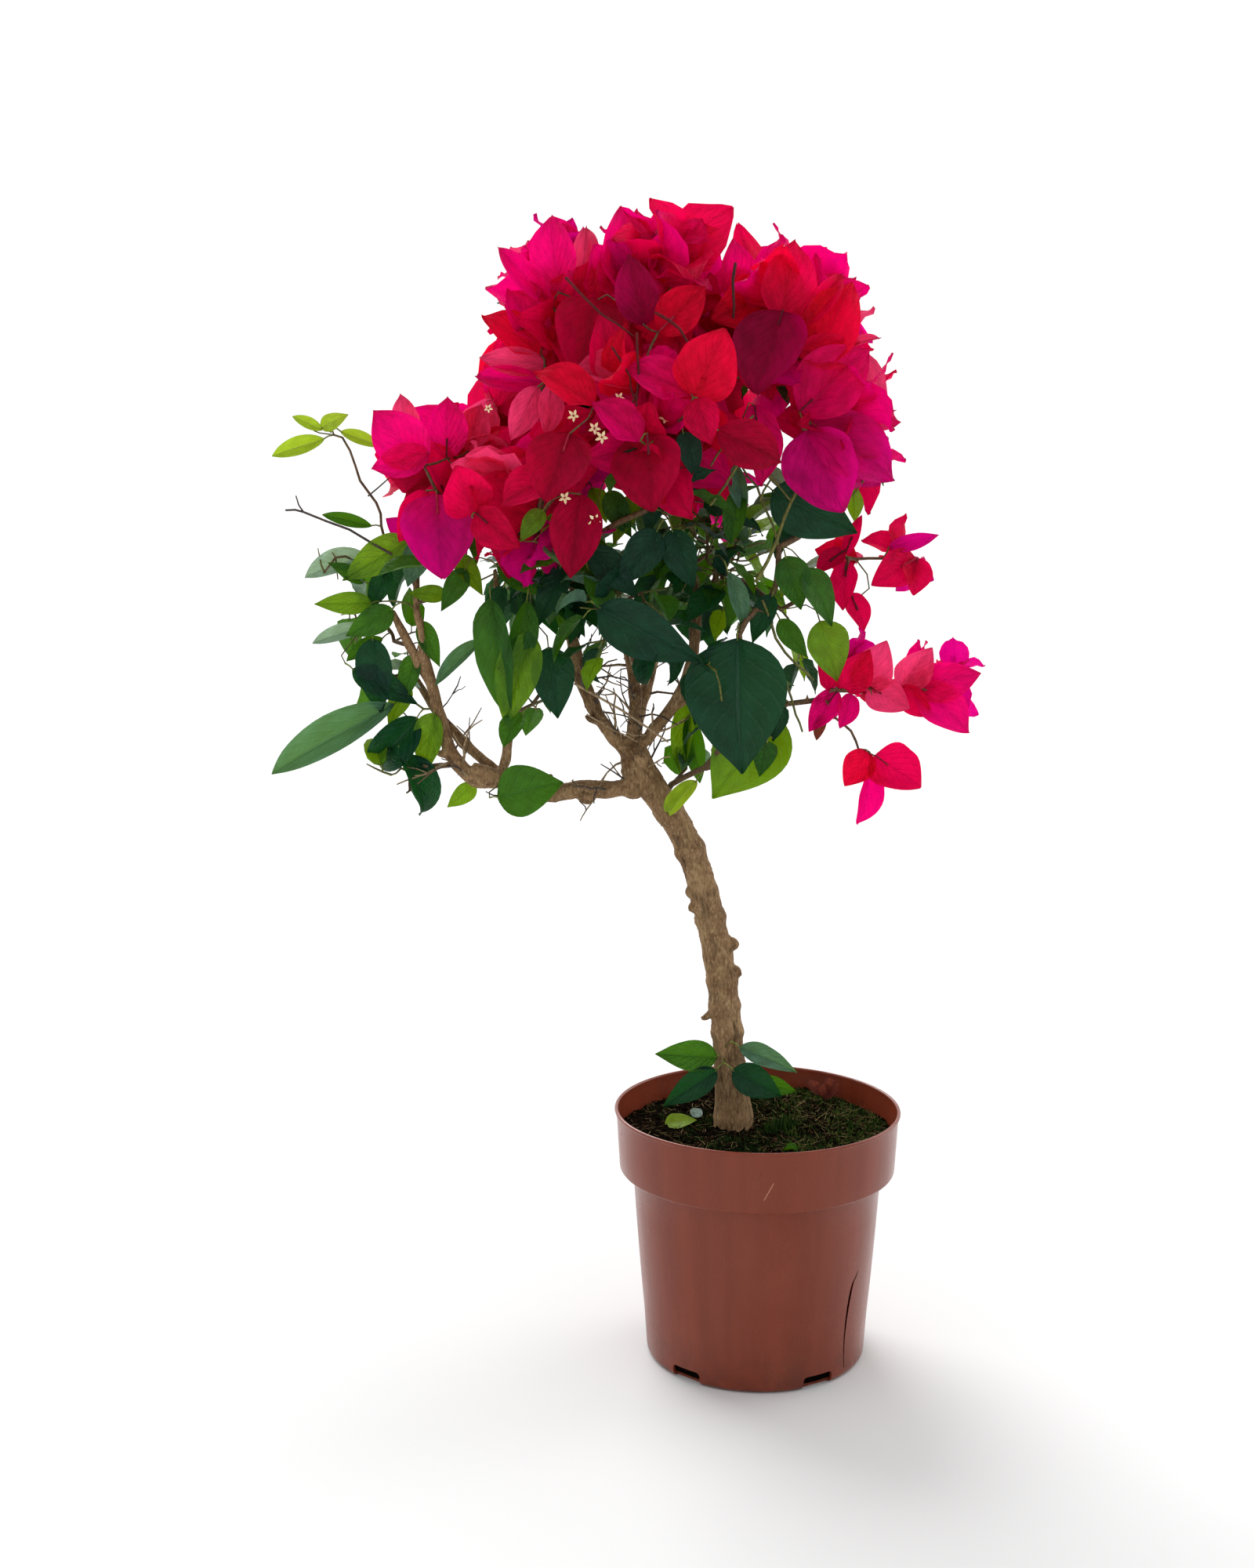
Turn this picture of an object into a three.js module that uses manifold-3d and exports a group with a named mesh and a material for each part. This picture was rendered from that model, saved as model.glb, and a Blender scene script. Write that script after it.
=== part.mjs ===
// Bougainvillea trained as a small standard on one stem, in its plastic nursery pot.
// Millimetres, +Z up. The origin is the middle of the pot's flat underside, and the
// side of the crown that shows most of the boughs faces -Y.

import * as THREE from 'three'
import { mergeVertices } from 'three/addons/utils/BufferGeometryUtils.js'
import Module from 'manifold-3d'

const wasm = await Module()
wasm.setup()

// ---------------------------------------------------------------- driving dimensions

const gap = 0.3                 // clear space left between two pieces that meet

const pot = {
  height: 151,
  baseRadius: 65,
  wallTopRadius: 74,            // the wall, just under the collar
  collarFootRadius: 82,
  rimRadius: 85,
  collarHeight: 37,
  wall: 1.6,
  floor: 2.4,
  foot: 1.2,                    // bevel between the wall and the underside
  lip: 2.2,                     // rolled edge of the rim
  sides: 40,
}

const drain = {
  count: 5,
  width: 20,
  height: 8,
  depth: 9,
  bearing: 30.5,                // of the first notch, in degrees from -Y towards +X
}

const crack = {
  bearing: 48.5,
  widest: 1.4,
  centreline: [[0, 6], [-1.6, 26], [-0.6, 45], [1.6, 56], [5, 65]],
}

const soil = {
  top: 139,
  roughness: 2.2,               // how far the surface heaves up and down
  rings: [22, 43, 63],
  patch: 34,                    // radius of the level place where the stem stands
}

const stemFoot = [-14, 0]       // where the stem leaves the soil

const colours = {
  plastic: 0x80452f,
  peat: 0x2c231a,
  bark: 0x85705a,
  youngWood: 0x5d5a33,
  magenta: 0xd4006a,
  crimson: 0xb80034,
  rose: 0xd83560,
  darkLeaf: 0x17382e,
  leaf: 0x3c6616,
  greyLeaf: 0x6f9486,
  youngLeaf: 0x93b92f,
}

// Each limb: its run, its radius at both ends and the masses it ends in. It starts inside
// a limb listed before it, or inside its root, which is a mass.
const limbs = {
  trunk: {
    run: [[...stemFoot, soil.top - 8], [-15, 0, 160], [-21, 3, 223], [-29, 4, 268],
      [-43, 2, 312], [-60, 0, 339], [-77, 0, 363]],
    from: 10, to: 8.4, sides: 10, steps: 14, flare: 4.5, knot: 0.97, into: [],
  },
  limb_left_low: {
    run: [[-62, -2, 342], [-85, -6, 343], [-107, -9, 344], [-125, -11, 341], [-142, -12, 348],
      [-154, -13, 351]],
    from: 6.6, to: 5.4, sides: 8, steps: 9, knot: 0.62, into: [],
  },
  limb_left_up: {
    run: [[-154, -13, 351], [-165, -13, 350], [-178, -12, 363], [-185, -10, 386], [-191, -8, 409]],
    from: 5.4, to: 4, sides: 8, steps: 8, knot: 0.3, into: [],
  },
  limb_left_back: {
    run: [[-146, -10, 350], [-163, 2, 360], [-180, 10, 376], [-200, 12, 402]],
    from: 4, to: 3, sides: 7, steps: 6, knot: 0.5, into: ['leaves_left_low'],
  },
  bough_left_outer: {
    run: [[-190, -8, 405], [-201, -6, 424], [-213, -2, 444], [-222, 0, 462]],
    from: 3.4, to: 2.4, sides: 7, steps: 5, knot: 0.4,
    into: ['leaves_left_mid', 'leaves_left_upper'],
  },
  bough_left_inner: {
    run: [[-190, -8, 403], [-194, -9, 430], [-198, -9, 455], [-194, -8, 490]],
    from: 3, to: 2.2, sides: 7, steps: 6, knot: 0.4, into: ['blossom_left'],
  },
  bough_left_riser: {
    run: [[-147, -12, 350], [-146, -9, 386], [-150, -6, 425], [-155, -5, 480]],
    from: 3.6, to: 2.6, sides: 7, steps: 8, knot: 0.2,
    into: ['blossom_left', 'blossom_left_front', 'leaves_core_left'],
  },
  bough_up_left: {
    run: [[-78, 0, 364], [-92, 4, 382], [-105, 7, 408], [-113, 9, 455]],
    from: 5.4, to: 4, sides: 7, steps: 6, knot: 0.5, into: ['leaves_core_left'],
  },
  bough_up_middle: {
    run: [[-76, 0, 364], [-73, 6, 386], [-74, 10, 408], [-84, 12, 455]],
    from: 4.8, to: 3.6, sides: 7, steps: 6, knot: 0.4, into: ['leaves_core_left'],
  },
  bough_right: {
    run: [[-74, 0, 362], [-55, -3, 386], [-44, -3, 404], [-38, 0, 430], [-36, 2, 465]],
    from: 4.8, to: 3.6, sides: 7, steps: 7, knot: 0.5, into: ['leaves_core_right'],
  },
  bough_back: {
    run: [[-75, 2, 362], [-70, 26, 386], [-62, 46, 412], [-56, 62, 460]],
    from: 5, to: 3.6, sides: 7, steps: 6, knot: 0.4,
    into: ['leaves_back_left', 'leaves_back_right'],
  },
  sprig_stem: {
    run: [[-196, -4, 470], [-209, -2, 491], [-226, 0, 515], [-250, 0, 548]],
    from: 1.8, to: 1.1, sides: 6, steps: 6, knot: 0.5, root: 'blossom_left', into: ['leaves_sprig'],
  },
  twig_right_upper: {
    run: [[40, 4, 436], [54, 3, 452], [66, 1, 462], [84, 0, 478]],
    from: 1.7, to: 1.2, sides: 6, steps: 5, knot: 0.5, root: 'leaves_right',
    into: ['blossom_right_upper'],
  },
  twig_hanging: {
    run: [[50, -5, 392], [53, -6, 376], [57, -6, 364], [64, -6, 350]],
    from: 1.7, to: 1.2, sides: 6, steps: 5, knot: 0.5, root: 'blossom_right_low',
    into: ['blossom_hanging'],
  },
}

// Each mass: its middle, how far it reaches along its own three axes, how far its long
// axis leans down to the left in degrees, how finely it is faceted, and its colour.
const masses = {
  blossom_top_left: { at: [-113, 6, 612], reach: [45, 60, 50], facets: 3, colour: 'magenta' },
  blossom_top: { at: [-62, -10, 622], reach: [46, 60, 46], facets: 3, colour: 'crimson' },
  blossom_top_right: { at: [8, 0, 604], reach: [48, 58, 44], facets: 3, colour: 'magenta' },
  blossom_top_back: { at: [-52, 62, 604], reach: [60, 46, 50], facets: 2, colour: 'crimson' },
  blossom_left: { at: [-182, -6, 516], reach: [40, 42, 51], facets: 3, colour: 'magenta' },
  blossom_left_front: { at: [-128, -50, 512], reach: [40, 38, 48], facets: 2, colour: 'crimson' },
  blossom_centre: { at: [-62, -64, 548], reach: [48, 40, 48], facets: 2, colour: 'crimson' },
  blossom_right: { at: [38, -10, 549], reach: [35, 48, 45], facets: 2, colour: 'magenta' },
  blossom_back_left: { at: [-134, 60, 545], reach: [50, 44, 56], facets: 2, colour: 'magenta' },
  blossom_back_middle: { at: [-38, 78, 540], reach: [42, 40, 54], facets: 2, colour: 'crimson' },
  blossom_back_right: { at: [26, 58, 590], reach: [40, 40, 38], facets: 2, colour: 'magenta' },
  blossom_right_inner: { at: [47, 6, 470], reach: [13, 22, 30], facets: 1, colour: 'crimson' },
  blossom_right_upper: { at: [80, 0, 474], reach: [23, 17, 20], facets: 1, colour: 'magenta' },
  blossom_right_low: { at: [52, -4, 402], reach: [25, 24, 30], facets: 2, colour: 'rose' },
  blossom_right_tip: { at: [101, -6, 402], reach: [31, 18, 27], facets: 2, colour: 'magenta' },
  blossom_hanging: { at: [69, -6, 343], reach: [24, 15, 23], facets: 1, colour: 'crimson' },
  leaves_core_left: { at: [-112, 8, 470], reach: [46, 46, 36], facets: 2, colour: 'darkLeaf' },
  leaves_core_right: { at: [-30, 4, 474], reach: [44, 48, 40], facets: 2, colour: 'darkLeaf' },
  leaves_back_left: { at: [-116, 74, 462], reach: [46, 34, 34], facets: 2, colour: 'leaf' },
  leaves_back_right: { at: [-26, 76, 462], reach: [48, 34, 38], facets: 2, colour: 'darkLeaf' },
  leaves_front: { at: [-76, -46, 450], reach: [40, 28, 38], facets: 2, colour: 'darkLeaf' },
  leaves_right_upper: { at: [28, -20, 496], reach: [29, 30, 19], facets: 1, colour: 'darkLeaf' },
  leaves_right: { at: [22, -6, 440], reach: [26, 34, 36], facets: 2, colour: 'leaf' },
  leaves_right_front: { at: [-12, -44, 394], reach: [34, 18, 42], facets: 2, colour: 'darkLeaf' },
  leaves_right_under: { at: [-8, -16, 360], reach: [26, 14, 24], facets: 1, colour: 'leaf' },
  leaves_left_upper: { at: [-226, 0, 471], reach: [35, 28, 22], facets: 1, colour: 'leaf' },
  leaves_left_mid: { at: [-229, 3, 437], reach: [30, 26, 20], facets: 1, colour: 'leaf' },
  leaves_left_low: { at: [-214, 0, 404], reach: [20, 24, 25], facets: 1, colour: 'leaf' },
  leaves_left_tip: { at: [-246, -4, 374], reach: [47, 9, 12], lean: 29, facets: 1, colour: 'greyLeaf' },
  leaves_left_hanging: { at: [-206, -6, 353], reach: [27, 18, 33], facets: 1, colour: 'leaf' },
  leaves_sprig: { at: [-252, 0, 544], reach: [31, 11, 14], lean: -12, facets: 1, colour: 'youngLeaf' },
  leaves_riser: { at: [-153, -32, 421], reach: [15, 14, 38], facets: 1, colour: 'leaf' },
  leaves_middle: { at: [-124, -24, 410], reach: [17, 18, 29], facets: 1, colour: 'leaf' },
  leaves_limb: { at: [-136, -27, 349], reach: [20, 11, 15], facets: 1, colour: 'leaf' },
  leaves_trunk: { at: [-48, -15, 336], reach: [13, 9, 11], facets: 1, colour: 'youngLeaf' },
  leaves_fork: { at: [-46, 20, 378], reach: [16, 14, 27], facets: 1, colour: 'leaf' },
  leaves_basal_left: { at: [-40, -4, 169], reach: [20, 14, 17], facets: 1, colour: 'leaf' },
  leaves_basal_right: { at: [4, -6, 169], reach: [20, 15, 18], facets: 1, colour: 'leaf' },
}

const unevenness = 0.26         // of a mass, as a share of its reach
const fullness = 2.6            // 2 is an ellipsoid, more fills its corners out
const barkUnevenness = 0.07     // of a limb, as a share of its radius

// ---------------------------------------------------------------- small helpers

const vector = (place) => new THREE.Vector3(...place)
const radians = THREE.MathUtils.degToRad

// A repeatable number from 0 to 1 for each name and index.
function chance(name, index) {
  let sum = index * 7.31 + name.length
  for (const letter of name) sum += letter.charCodeAt(0) * (1.7 + 0.13 * index)
  const wave = Math.sin(sum * 12.9898) * 43758.5453
  return wave - Math.floor(wave)
}

// Smooth lumps over a ball of directions, from -1 to 1.
function lumps(direction, name) {
  let sum = 0
  const waves = 5
  for (let wave = 0; wave < waves; wave += 1) {
    const turn = Math.PI * 2 * chance(name, wave)
    const tilt = Math.PI * chance(name, wave + waves)
    const axis = vector([Math.cos(turn) * Math.sin(tilt), Math.sin(turn) * Math.sin(tilt),
      Math.cos(tilt)])
    sum += Math.sin(direction.dot(axis) * (3 + 1.5 * wave) + turn * 3)
  }
  return sum / waves
}

// Moves each corner of a geometry to the place that a function gives, sharing corners.
function reshape(geometry, place) {
  geometry.deleteAttribute('normal')
  geometry.deleteAttribute('uv')
  const shared = mergeVertices(geometry, 1e-4)
  const corners = shared.getAttribute('position')
  for (let corner = 0; corner < corners.count; corner += 1) {
    const moved = place(new THREE.Vector3().fromBufferAttribute(corners, corner))
    corners.setXYZ(corner, moved.x, moved.y, moved.z)
  }
  return shared
}

function toSolid(geometry) {
  return new wasm.Manifold(new wasm.Mesh({
    numProp: 3,
    vertProperties: new Float32Array(geometry.getAttribute('position').array),
    triVerts: new Uint32Array(geometry.getIndex().array),
  }))
}

function toGeometry(solid) {
  const mesh = solid.getMesh()
  const geometry = new THREE.BufferGeometry()
  geometry.setAttribute('position', new THREE.BufferAttribute(mesh.vertProperties, 3))
  geometry.setIndex(new THREE.BufferAttribute(mesh.triVerts, 1))
  geometry.computeVertexNormals()
  return geometry
}

// The biggest single body of a solid, with the crumbs that a cut leaves dropped.
function biggest(solid) {
  const bodies = solid.decompose()
  bodies.sort((one, other) => other.volume() - one.volume())
  return bodies[0]
}

const asPlain = (geometry) => toSolid(reshape(geometry, (corner) => corner))

// ---------------------------------------------------------------- pot and soil

function lathe(profile, sides) {
  const geometry = new THREE.LatheGeometry(profile.map((p) => new THREE.Vector2(...p)), sides)
  return asPlain(geometry.rotateX(Math.PI / 2))
}

// A place on the pot's wall: its bearing in degrees from -Y towards +X.
function atBearing(geometry, bearing) {
  return asPlain(geometry.rotateZ(radians(bearing)))
}

function crackSolid() {
  const half = crack.centreline.map((point, index, all) => {
    const along = index / (all.length - 1)
    return crack.widest * 0.5 * Math.sin(Math.PI * (0.12 + 0.82 * along))
  })
  const right = crack.centreline.map(([side, height], index) => [side + half[index], height])
  const left = crack.centreline.map(([side, height], index) => [side - half[index], height])
  const outline = new THREE.Shape([...right, ...left.reverse()].map((p) => new THREE.Vector2(...p)))
  const depth = pot.baseRadius / 2
  const slit = new THREE.ExtrudeGeometry(outline, { depth, bevelEnabled: false, steps: 1 })
  slit.rotateX(Math.PI / 2)
  slit.translate(0, -pot.baseRadius + depth / 2, 0)
  return atBearing(slit, crack.bearing)
}

function potSolid() {
  const { height, baseRadius, wallTopRadius, collarFootRadius, rimRadius, wall, floor, foot } = pot
  const step = height - pot.collarHeight
  const shell = lathe([
    [0, 0],
    [baseRadius - foot, 0],
    [baseRadius, foot],
    [wallTopRadius, step],
    [collarFootRadius, step + foot],
    [rimRadius - 0.6, height - pot.lip],
    [rimRadius, height - pot.lip / 2],
    [rimRadius - pot.lip / 2, height],
    [rimRadius - pot.lip, height - pot.lip / 2],
    [collarFootRadius - wall, step + foot + wall],
    [wallTopRadius - wall, step + wall / 2],
    [baseRadius - wall, floor],
    [0, floor],
  ], pot.sides)
  let solid = shell.subtract(crackSolid())
  for (let notch = 0; notch < drain.count; notch += 1) {
    const box = new THREE.BoxGeometry(drain.width, drain.depth, drain.height * 2)
    box.translate(0, -pot.baseRadius, 0)
    solid = solid.subtract(atBearing(box, drain.bearing + notch * 360 / drain.count))
  }
  return biggest(solid)
}

// Peat that fills the pot to a finger's breadth of its lip, heaved a little by watering.
function soilSolid() {
  const step = pot.height - pot.collarHeight
  const fit = pot.wall + 2 * gap
  const edge = THREE.MathUtils.lerp(pot.collarFootRadius, pot.rimRadius, 0.55) - fit
  const profile = [
    [0, pot.floor + gap],
    [pot.baseRadius - fit, pot.floor + gap],
    [pot.wallTopRadius - fit, step + pot.wall],
    [pot.collarFootRadius - fit - 1, step + 3 * pot.wall],
    [edge, soil.top - soil.roughness],
    ...soil.rings.toReversed().map((radius) => [radius, soil.top]),
    [0, soil.top],
  ]
  const geometry = new THREE.LatheGeometry(profile.map((p) => new THREE.Vector2(...p)), pot.sides)
  const heaved = reshape(geometry.rotateX(Math.PI / 2), (corner) => {
    const fromStem = Math.hypot(corner.x - stemFoot[0], corner.y - stemFoot[1])
    if (corner.z < soil.top - soil.roughness / 2 || fromStem < soil.patch) return corner
    const direction = vector([corner.x / 40, corner.y / 40, 0])
    return corner.setZ(soil.top + soil.roughness * lumps(direction, 'soil'))
  })
  return toSolid(heaved)
}

// ---------------------------------------------------------------- limbs

// A closed cylinder bent along a smooth run, tapering, with a flare at its foot, a
// swelling at its knot and uneven bark. growth makes a fatter copy to cut neighbours with.
function limbSolid(name, growth) {
  const { run, from, to, sides, steps, flare = 0, knot } = limbs[name]
  const path = new THREE.CatmullRomCurve3(run.map(vector), false, 'catmullrom', 0.5)
  const frames = path.computeFrenetFrames(steps, false)
  const length = path.getLength()
  const rod = new THREE.CylinderGeometry(1, 1, 1, sides, steps)
  const bent = reshape(rod, (corner) => {
    const station = Math.round((corner.y + 0.5) * steps)
    const along = station / steps
    const angle = Math.atan2(corner.x, corner.z)
    const swelling = 0.22 * from * Math.exp(-(((along - knot) / 0.06) ** 2))
    const spread = flare * Math.exp(-along * length / (2 * from)) * (1 + 0.25 * Math.cos(3 * angle))
    const wave = 1 + barkUnevenness * Math.sin(5 * along * Math.PI + 2 * angle + from)
    const radius = (THREE.MathUtils.lerp(from, to, along) + swelling) * wave + spread + growth
    const reach = Math.hypot(corner.x, corner.z) * radius
    return path.getPointAt(along)
      .addScaledVector(frames.normals[station], Math.cos(angle) * reach)
      .addScaledVector(frames.binormals[station], Math.sin(angle) * reach)
  })
  const solid = toSolid(bent)
  return solid.volume() > 0 ? solid : toSolid(flipped(bent))
}

function flipped(geometry) {
  const index = geometry.getIndex()
  for (let face = 0; face < index.count; face += 3) {
    const first = index.getX(face)
    index.setX(face, index.getX(face + 2))
    index.setX(face + 2, first)
  }
  return geometry
}

// ---------------------------------------------------------------- masses

// An uneven ball of leaves or blossom, as directions out from its middle.
function massShape(name) {
  const { at, reach, lean = 0, facets } = masses[name]
  const rays = []
  const geometry = reshape(new THREE.IcosahedronGeometry(1, facets), (corner) => {
    const ray = corner.clone().multiply(vector(reach))
    const powers = corner.toArray().map((share) => Math.abs(share) ** fullness)
    ray.divideScalar((powers[0] + powers[1] + powers[2]) ** (1 / fullness))
    ray.multiplyScalar(1 + unevenness * lumps(corner, name))
    rays.push(ray)
    return corner
  })
  const low = rays[0].clone()
  const high = rays[0].clone()
  for (const ray of rays) {
    low.min(ray)
    high.max(ray)
  }
  for (const ray of rays) {
    for (const axis of ['x', 'y', 'z']) {
      const side = ray[axis] < 0 ? -low[axis] : high[axis]
      ray[axis] *= reach['xyz'.indexOf(axis)] / side
    }
    ray.applyAxisAngle(vector([0, 1, 0]), -radians(lean))
  }
  return { name, middle: vector(at), reach: vector(reach), geometry, rays, limits: [] }
}

const furthest = (shape, normal) => Math.max(...shape.rays.map((ray) => ray.dot(normal)))

// Two masses that would run into each other get a flat parting between them.
function part(one, other) {
  const apart = other.middle.clone().sub(one.middle)
  const width = one.reach.clone().add(other.reach)
  const normal = apart.clone().divide(width).divide(width).normalize()
  const distance = apart.dot(normal)
  const oneReach = furthest(one, normal)
  const otherReach = furthest(other, normal.clone().negate())
  if (oneReach + otherReach + gap < distance) return
  const share = distance * oneReach / (oneReach + otherReach)
  one.limits.push({ normal, distance: share - gap / 2 })
  other.limits.push({ normal: normal.clone().negate(), distance: distance - share - gap / 2 })
}

function massSolid(shape, growth) {
  const corners = shape.geometry.clone()
  const position = corners.getAttribute('position')
  shape.rays.forEach((ray, index) => {
    let shrink = 1
    for (const { normal, distance } of shape.limits) {
      const reach = ray.dot(normal)
      if (reach > distance) shrink = Math.min(shrink, distance / reach)
    }
    const length = ray.length() * shrink
    const place = ray.clone().setLength(length + growth).add(shape.middle)
    position.setXYZ(index, place.x, place.y, place.z)
  })
  return toSolid(corners)
}

// ---------------------------------------------------------------- putting it together

const shapes = Object.keys(masses).map(massShape)
shapes.forEach((one, index) => {
  shapes.slice(index + 1).forEach((other) => part(one, other))
})
const shapeOf = Object.fromEntries(shapes.map((shape) => [shape.name, shape]))

const massGrowth = 2 * gap
const limbGrowth = 1.5 * gap

// Everything below the soil's level place, to cut the foot of the stem off flat.
function belowSoil() {
  const depth = 2 * pot.rimRadius
  const box = new THREE.BoxGeometry(depth, depth, depth)
  return asPlain(box.translate(0, 0, soil.top + gap - depth / 2))
}

// A limb starts on the soil or on a limb listed before it, and stops where it enters a mass.
function finishedLimb(name) {
  const { root, into } = limbs[name]
  const names = Object.keys(limbs)
  let solid = limbSolid(name, 0).subtract(belowSoil())
  for (const earlier of names.slice(0, names.indexOf(name))) {
    solid = solid.subtract(limbSolid(earlier, limbGrowth))
  }
  const met = root ? [root, ...into] : into
  for (const mass of met) solid = solid.subtract(massSolid(shapeOf[mass], massGrowth))
  return biggest(solid)
}

// A mass that a limb only passes is cut round the limb.
function finishedMass(name) {
  let solid = massSolid(shapeOf[name], 0)
  for (const [limbName, limb] of Object.entries(limbs)) {
    const meets = limb.into.includes(name) || limb.root === name
    if (!meets) solid = solid.subtract(limbSolid(limbName, limbGrowth))
  }
  return biggest(solid)
}

const plant = new THREE.Group()

function addPiece(name, solid, colour, roughness) {
  const material = new THREE.MeshStandardMaterial({ color: colours[colour], roughness, metalness: 0 })
  const mesh = new THREE.Mesh(toGeometry(solid), material)
  mesh.name = name
  plant.add(mesh)
}

addPiece('pot', potSolid(), 'plastic', 0.45)
addPiece('soil', soilSolid(), 'peat', 1)
for (const name of Object.keys(limbs)) {
  const young = limbs[name].from < 2
  addPiece(name, finishedLimb(name), young ? 'youngWood' : 'bark', 0.85)
}
for (const name of Object.keys(masses)) {
  addPiece(name, finishedMass(name), masses[name].colour, 0.6)
}

export default plant
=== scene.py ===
# %% [markdown]
# # A bougainvillea standard in its nursery pot
# The plant is a thin-barked shrub that a grower has trained to one bare stem. It carries
# a lopsided crown: a dome of papery bracts, a skirt of leaves, a side limb to the left
# and a few loose sprays to the right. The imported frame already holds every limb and
# every mass of the crown as a plain solid. This lesson keeps those places and sizes and
# grows the real surfaces in them: moulded plastic, peat with moss, ridged bark, twigs,
# leaves, and blooms of three bracts each.

# %% Load the frame
import math
import random

import bmesh
import bpy
import numpy as np
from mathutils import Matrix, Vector, noise
from mathutils.bvhtree import BVHTree


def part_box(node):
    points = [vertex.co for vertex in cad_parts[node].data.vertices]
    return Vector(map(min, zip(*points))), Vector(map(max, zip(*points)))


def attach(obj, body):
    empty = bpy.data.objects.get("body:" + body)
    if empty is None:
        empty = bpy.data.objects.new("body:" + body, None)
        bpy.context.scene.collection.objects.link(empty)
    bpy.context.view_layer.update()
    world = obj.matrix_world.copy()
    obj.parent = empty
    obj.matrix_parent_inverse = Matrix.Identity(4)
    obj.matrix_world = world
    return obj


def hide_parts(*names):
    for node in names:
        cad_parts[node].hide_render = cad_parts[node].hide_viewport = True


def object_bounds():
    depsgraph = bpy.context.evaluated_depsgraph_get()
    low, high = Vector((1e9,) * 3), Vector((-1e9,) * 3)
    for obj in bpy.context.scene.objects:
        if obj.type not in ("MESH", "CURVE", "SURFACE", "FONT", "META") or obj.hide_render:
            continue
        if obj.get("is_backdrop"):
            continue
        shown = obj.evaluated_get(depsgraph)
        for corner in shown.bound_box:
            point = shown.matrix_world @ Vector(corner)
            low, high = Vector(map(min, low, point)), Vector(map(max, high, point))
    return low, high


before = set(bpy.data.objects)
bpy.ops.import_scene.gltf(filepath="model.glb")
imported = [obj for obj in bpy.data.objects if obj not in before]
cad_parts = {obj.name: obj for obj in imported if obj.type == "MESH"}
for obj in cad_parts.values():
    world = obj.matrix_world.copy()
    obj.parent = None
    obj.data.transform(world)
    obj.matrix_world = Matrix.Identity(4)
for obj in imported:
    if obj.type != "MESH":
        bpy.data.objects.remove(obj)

MM = 0.001
cad_low, cad_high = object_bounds()
print("the frame is", [round(side / MM) for side in cad_high - cad_low], "mm,", len(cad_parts), "nodes")

# %% [markdown]
# ## Camera, floor and light
# A plant like this is looked at from a little above, from about one and a half times
# its height away. Thin bracts and leaves only look alive when some light comes through
# them, so both soft lamps stand behind the plant, a strong one on the left and a weak one
# on the right. A pale floor and a pale world, a little brighter behind, do the rest.

# %% Camera
camera_data = bpy.data.cameras.new("camera")
camera_data.lens = 45.07
camera_data.sensor_width = 36
camera = bpy.data.objects.new("camera", camera_data)
bpy.context.scene.collection.objects.link(camera)
camera.location = (-77.6 * MM, -1129 * MM, 517 * MM)
look_down = math.radians(8.65)
camera.rotation_euler = (math.pi / 2 - look_down, 0, 0)
bpy.context.scene.camera = camera

# %% Helpers for modelling
def deselect():
    if bpy.context.object and bpy.context.object.mode != "OBJECT":
        bpy.ops.object.mode_set(mode="OBJECT")
    bpy.ops.object.select_all(action="DESELECT")


def choose(piece):
    """Selects one piece alone, so that the next operator works on it."""
    deselect()
    piece.select_set(True)
    bpy.context.view_layer.objects.active = piece


def settle():
    """Puts the selected piece's place, turn and scale into its mesh."""
    bpy.ops.object.transform_apply(location=True, rotation=True, scale=True)


def start_edit(kind):
    bpy.ops.object.mode_set(mode="EDIT")
    bpy.ops.mesh.select_mode(type=kind)


def pick_all():
    bpy.ops.mesh.select_all(action="SELECT")


def end_edit():
    """Turns all faces outwards and leaves edit mode."""
    pick_all()
    bpy.ops.mesh.normals_make_consistent(inside=False)
    bpy.ops.object.mode_set(mode="OBJECT")


def work_in(piece, kind, **values):
    """Gives a piece a modifier and applies it."""
    tool = piece.modifiers.new(kind.lower(), kind)
    for name, value in values.items():
        setattr(tool, name, value)
    bpy.ops.object.modifier_apply(modifier=tool.name)


# %% Floor and world
def node_of(tree, kind, **values):
    node = tree.nodes.new(kind)
    for name, value in values.items():
        setattr(node, name, value)
    return node


def plain_material(name, colour, roughness, gloss=0.5):
    """One colour and one roughness; gloss is how much the skin mirrors, 0.5 for most plastics."""
    material = bpy.data.materials.new(name)
    material.use_nodes = True
    shader = material.node_tree.nodes["Principled BSDF"]
    shader.inputs["Base Color"].default_value = (*colour, 1)
    shader.inputs["Roughness"].default_value = roughness
    shader.inputs["Specular IOR Level"].default_value = gloss
    return material


deselect()
bpy.ops.mesh.primitive_circle_add(vertices=96, radius=30, fill_type="NGON", location=(0, 0, 0))
floor = bpy.context.object
floor.name = "studio_floor"
floor.data.materials.append(plain_material("studio_floor", (0.72, 0.72, 0.72), 0.9, gloss=0.1))
floor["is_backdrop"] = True

world = bpy.data.worlds.new("studio")
world.use_nodes = True
world.node_tree.nodes["Background"].inputs["Color"].default_value = (1, 1, 1, 1)
direction = node_of(world.node_tree, "ShaderNodeTexCoord")
apart = node_of(world.node_tree, "ShaderNodeSeparateXYZ")
room = node_of(world.node_tree, "ShaderNodeMapRange")
for name, number in (("From Min", -0.7), ("From Max", 0.4), ("To Min", 0.80), ("To Max", 1.03)):
    room.inputs[name].default_value = number
world.node_tree.links.new(direction.outputs["Generated"], apart.inputs[0])
world.node_tree.links.new(apart.outputs["Y"], room.inputs["Value"])
world.node_tree.links.new(room.outputs["Result"], world.node_tree.nodes["Background"].inputs["Strength"])
bpy.context.scene.world = world
bpy.context.scene.view_settings.view_transform = "Standard"

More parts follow.
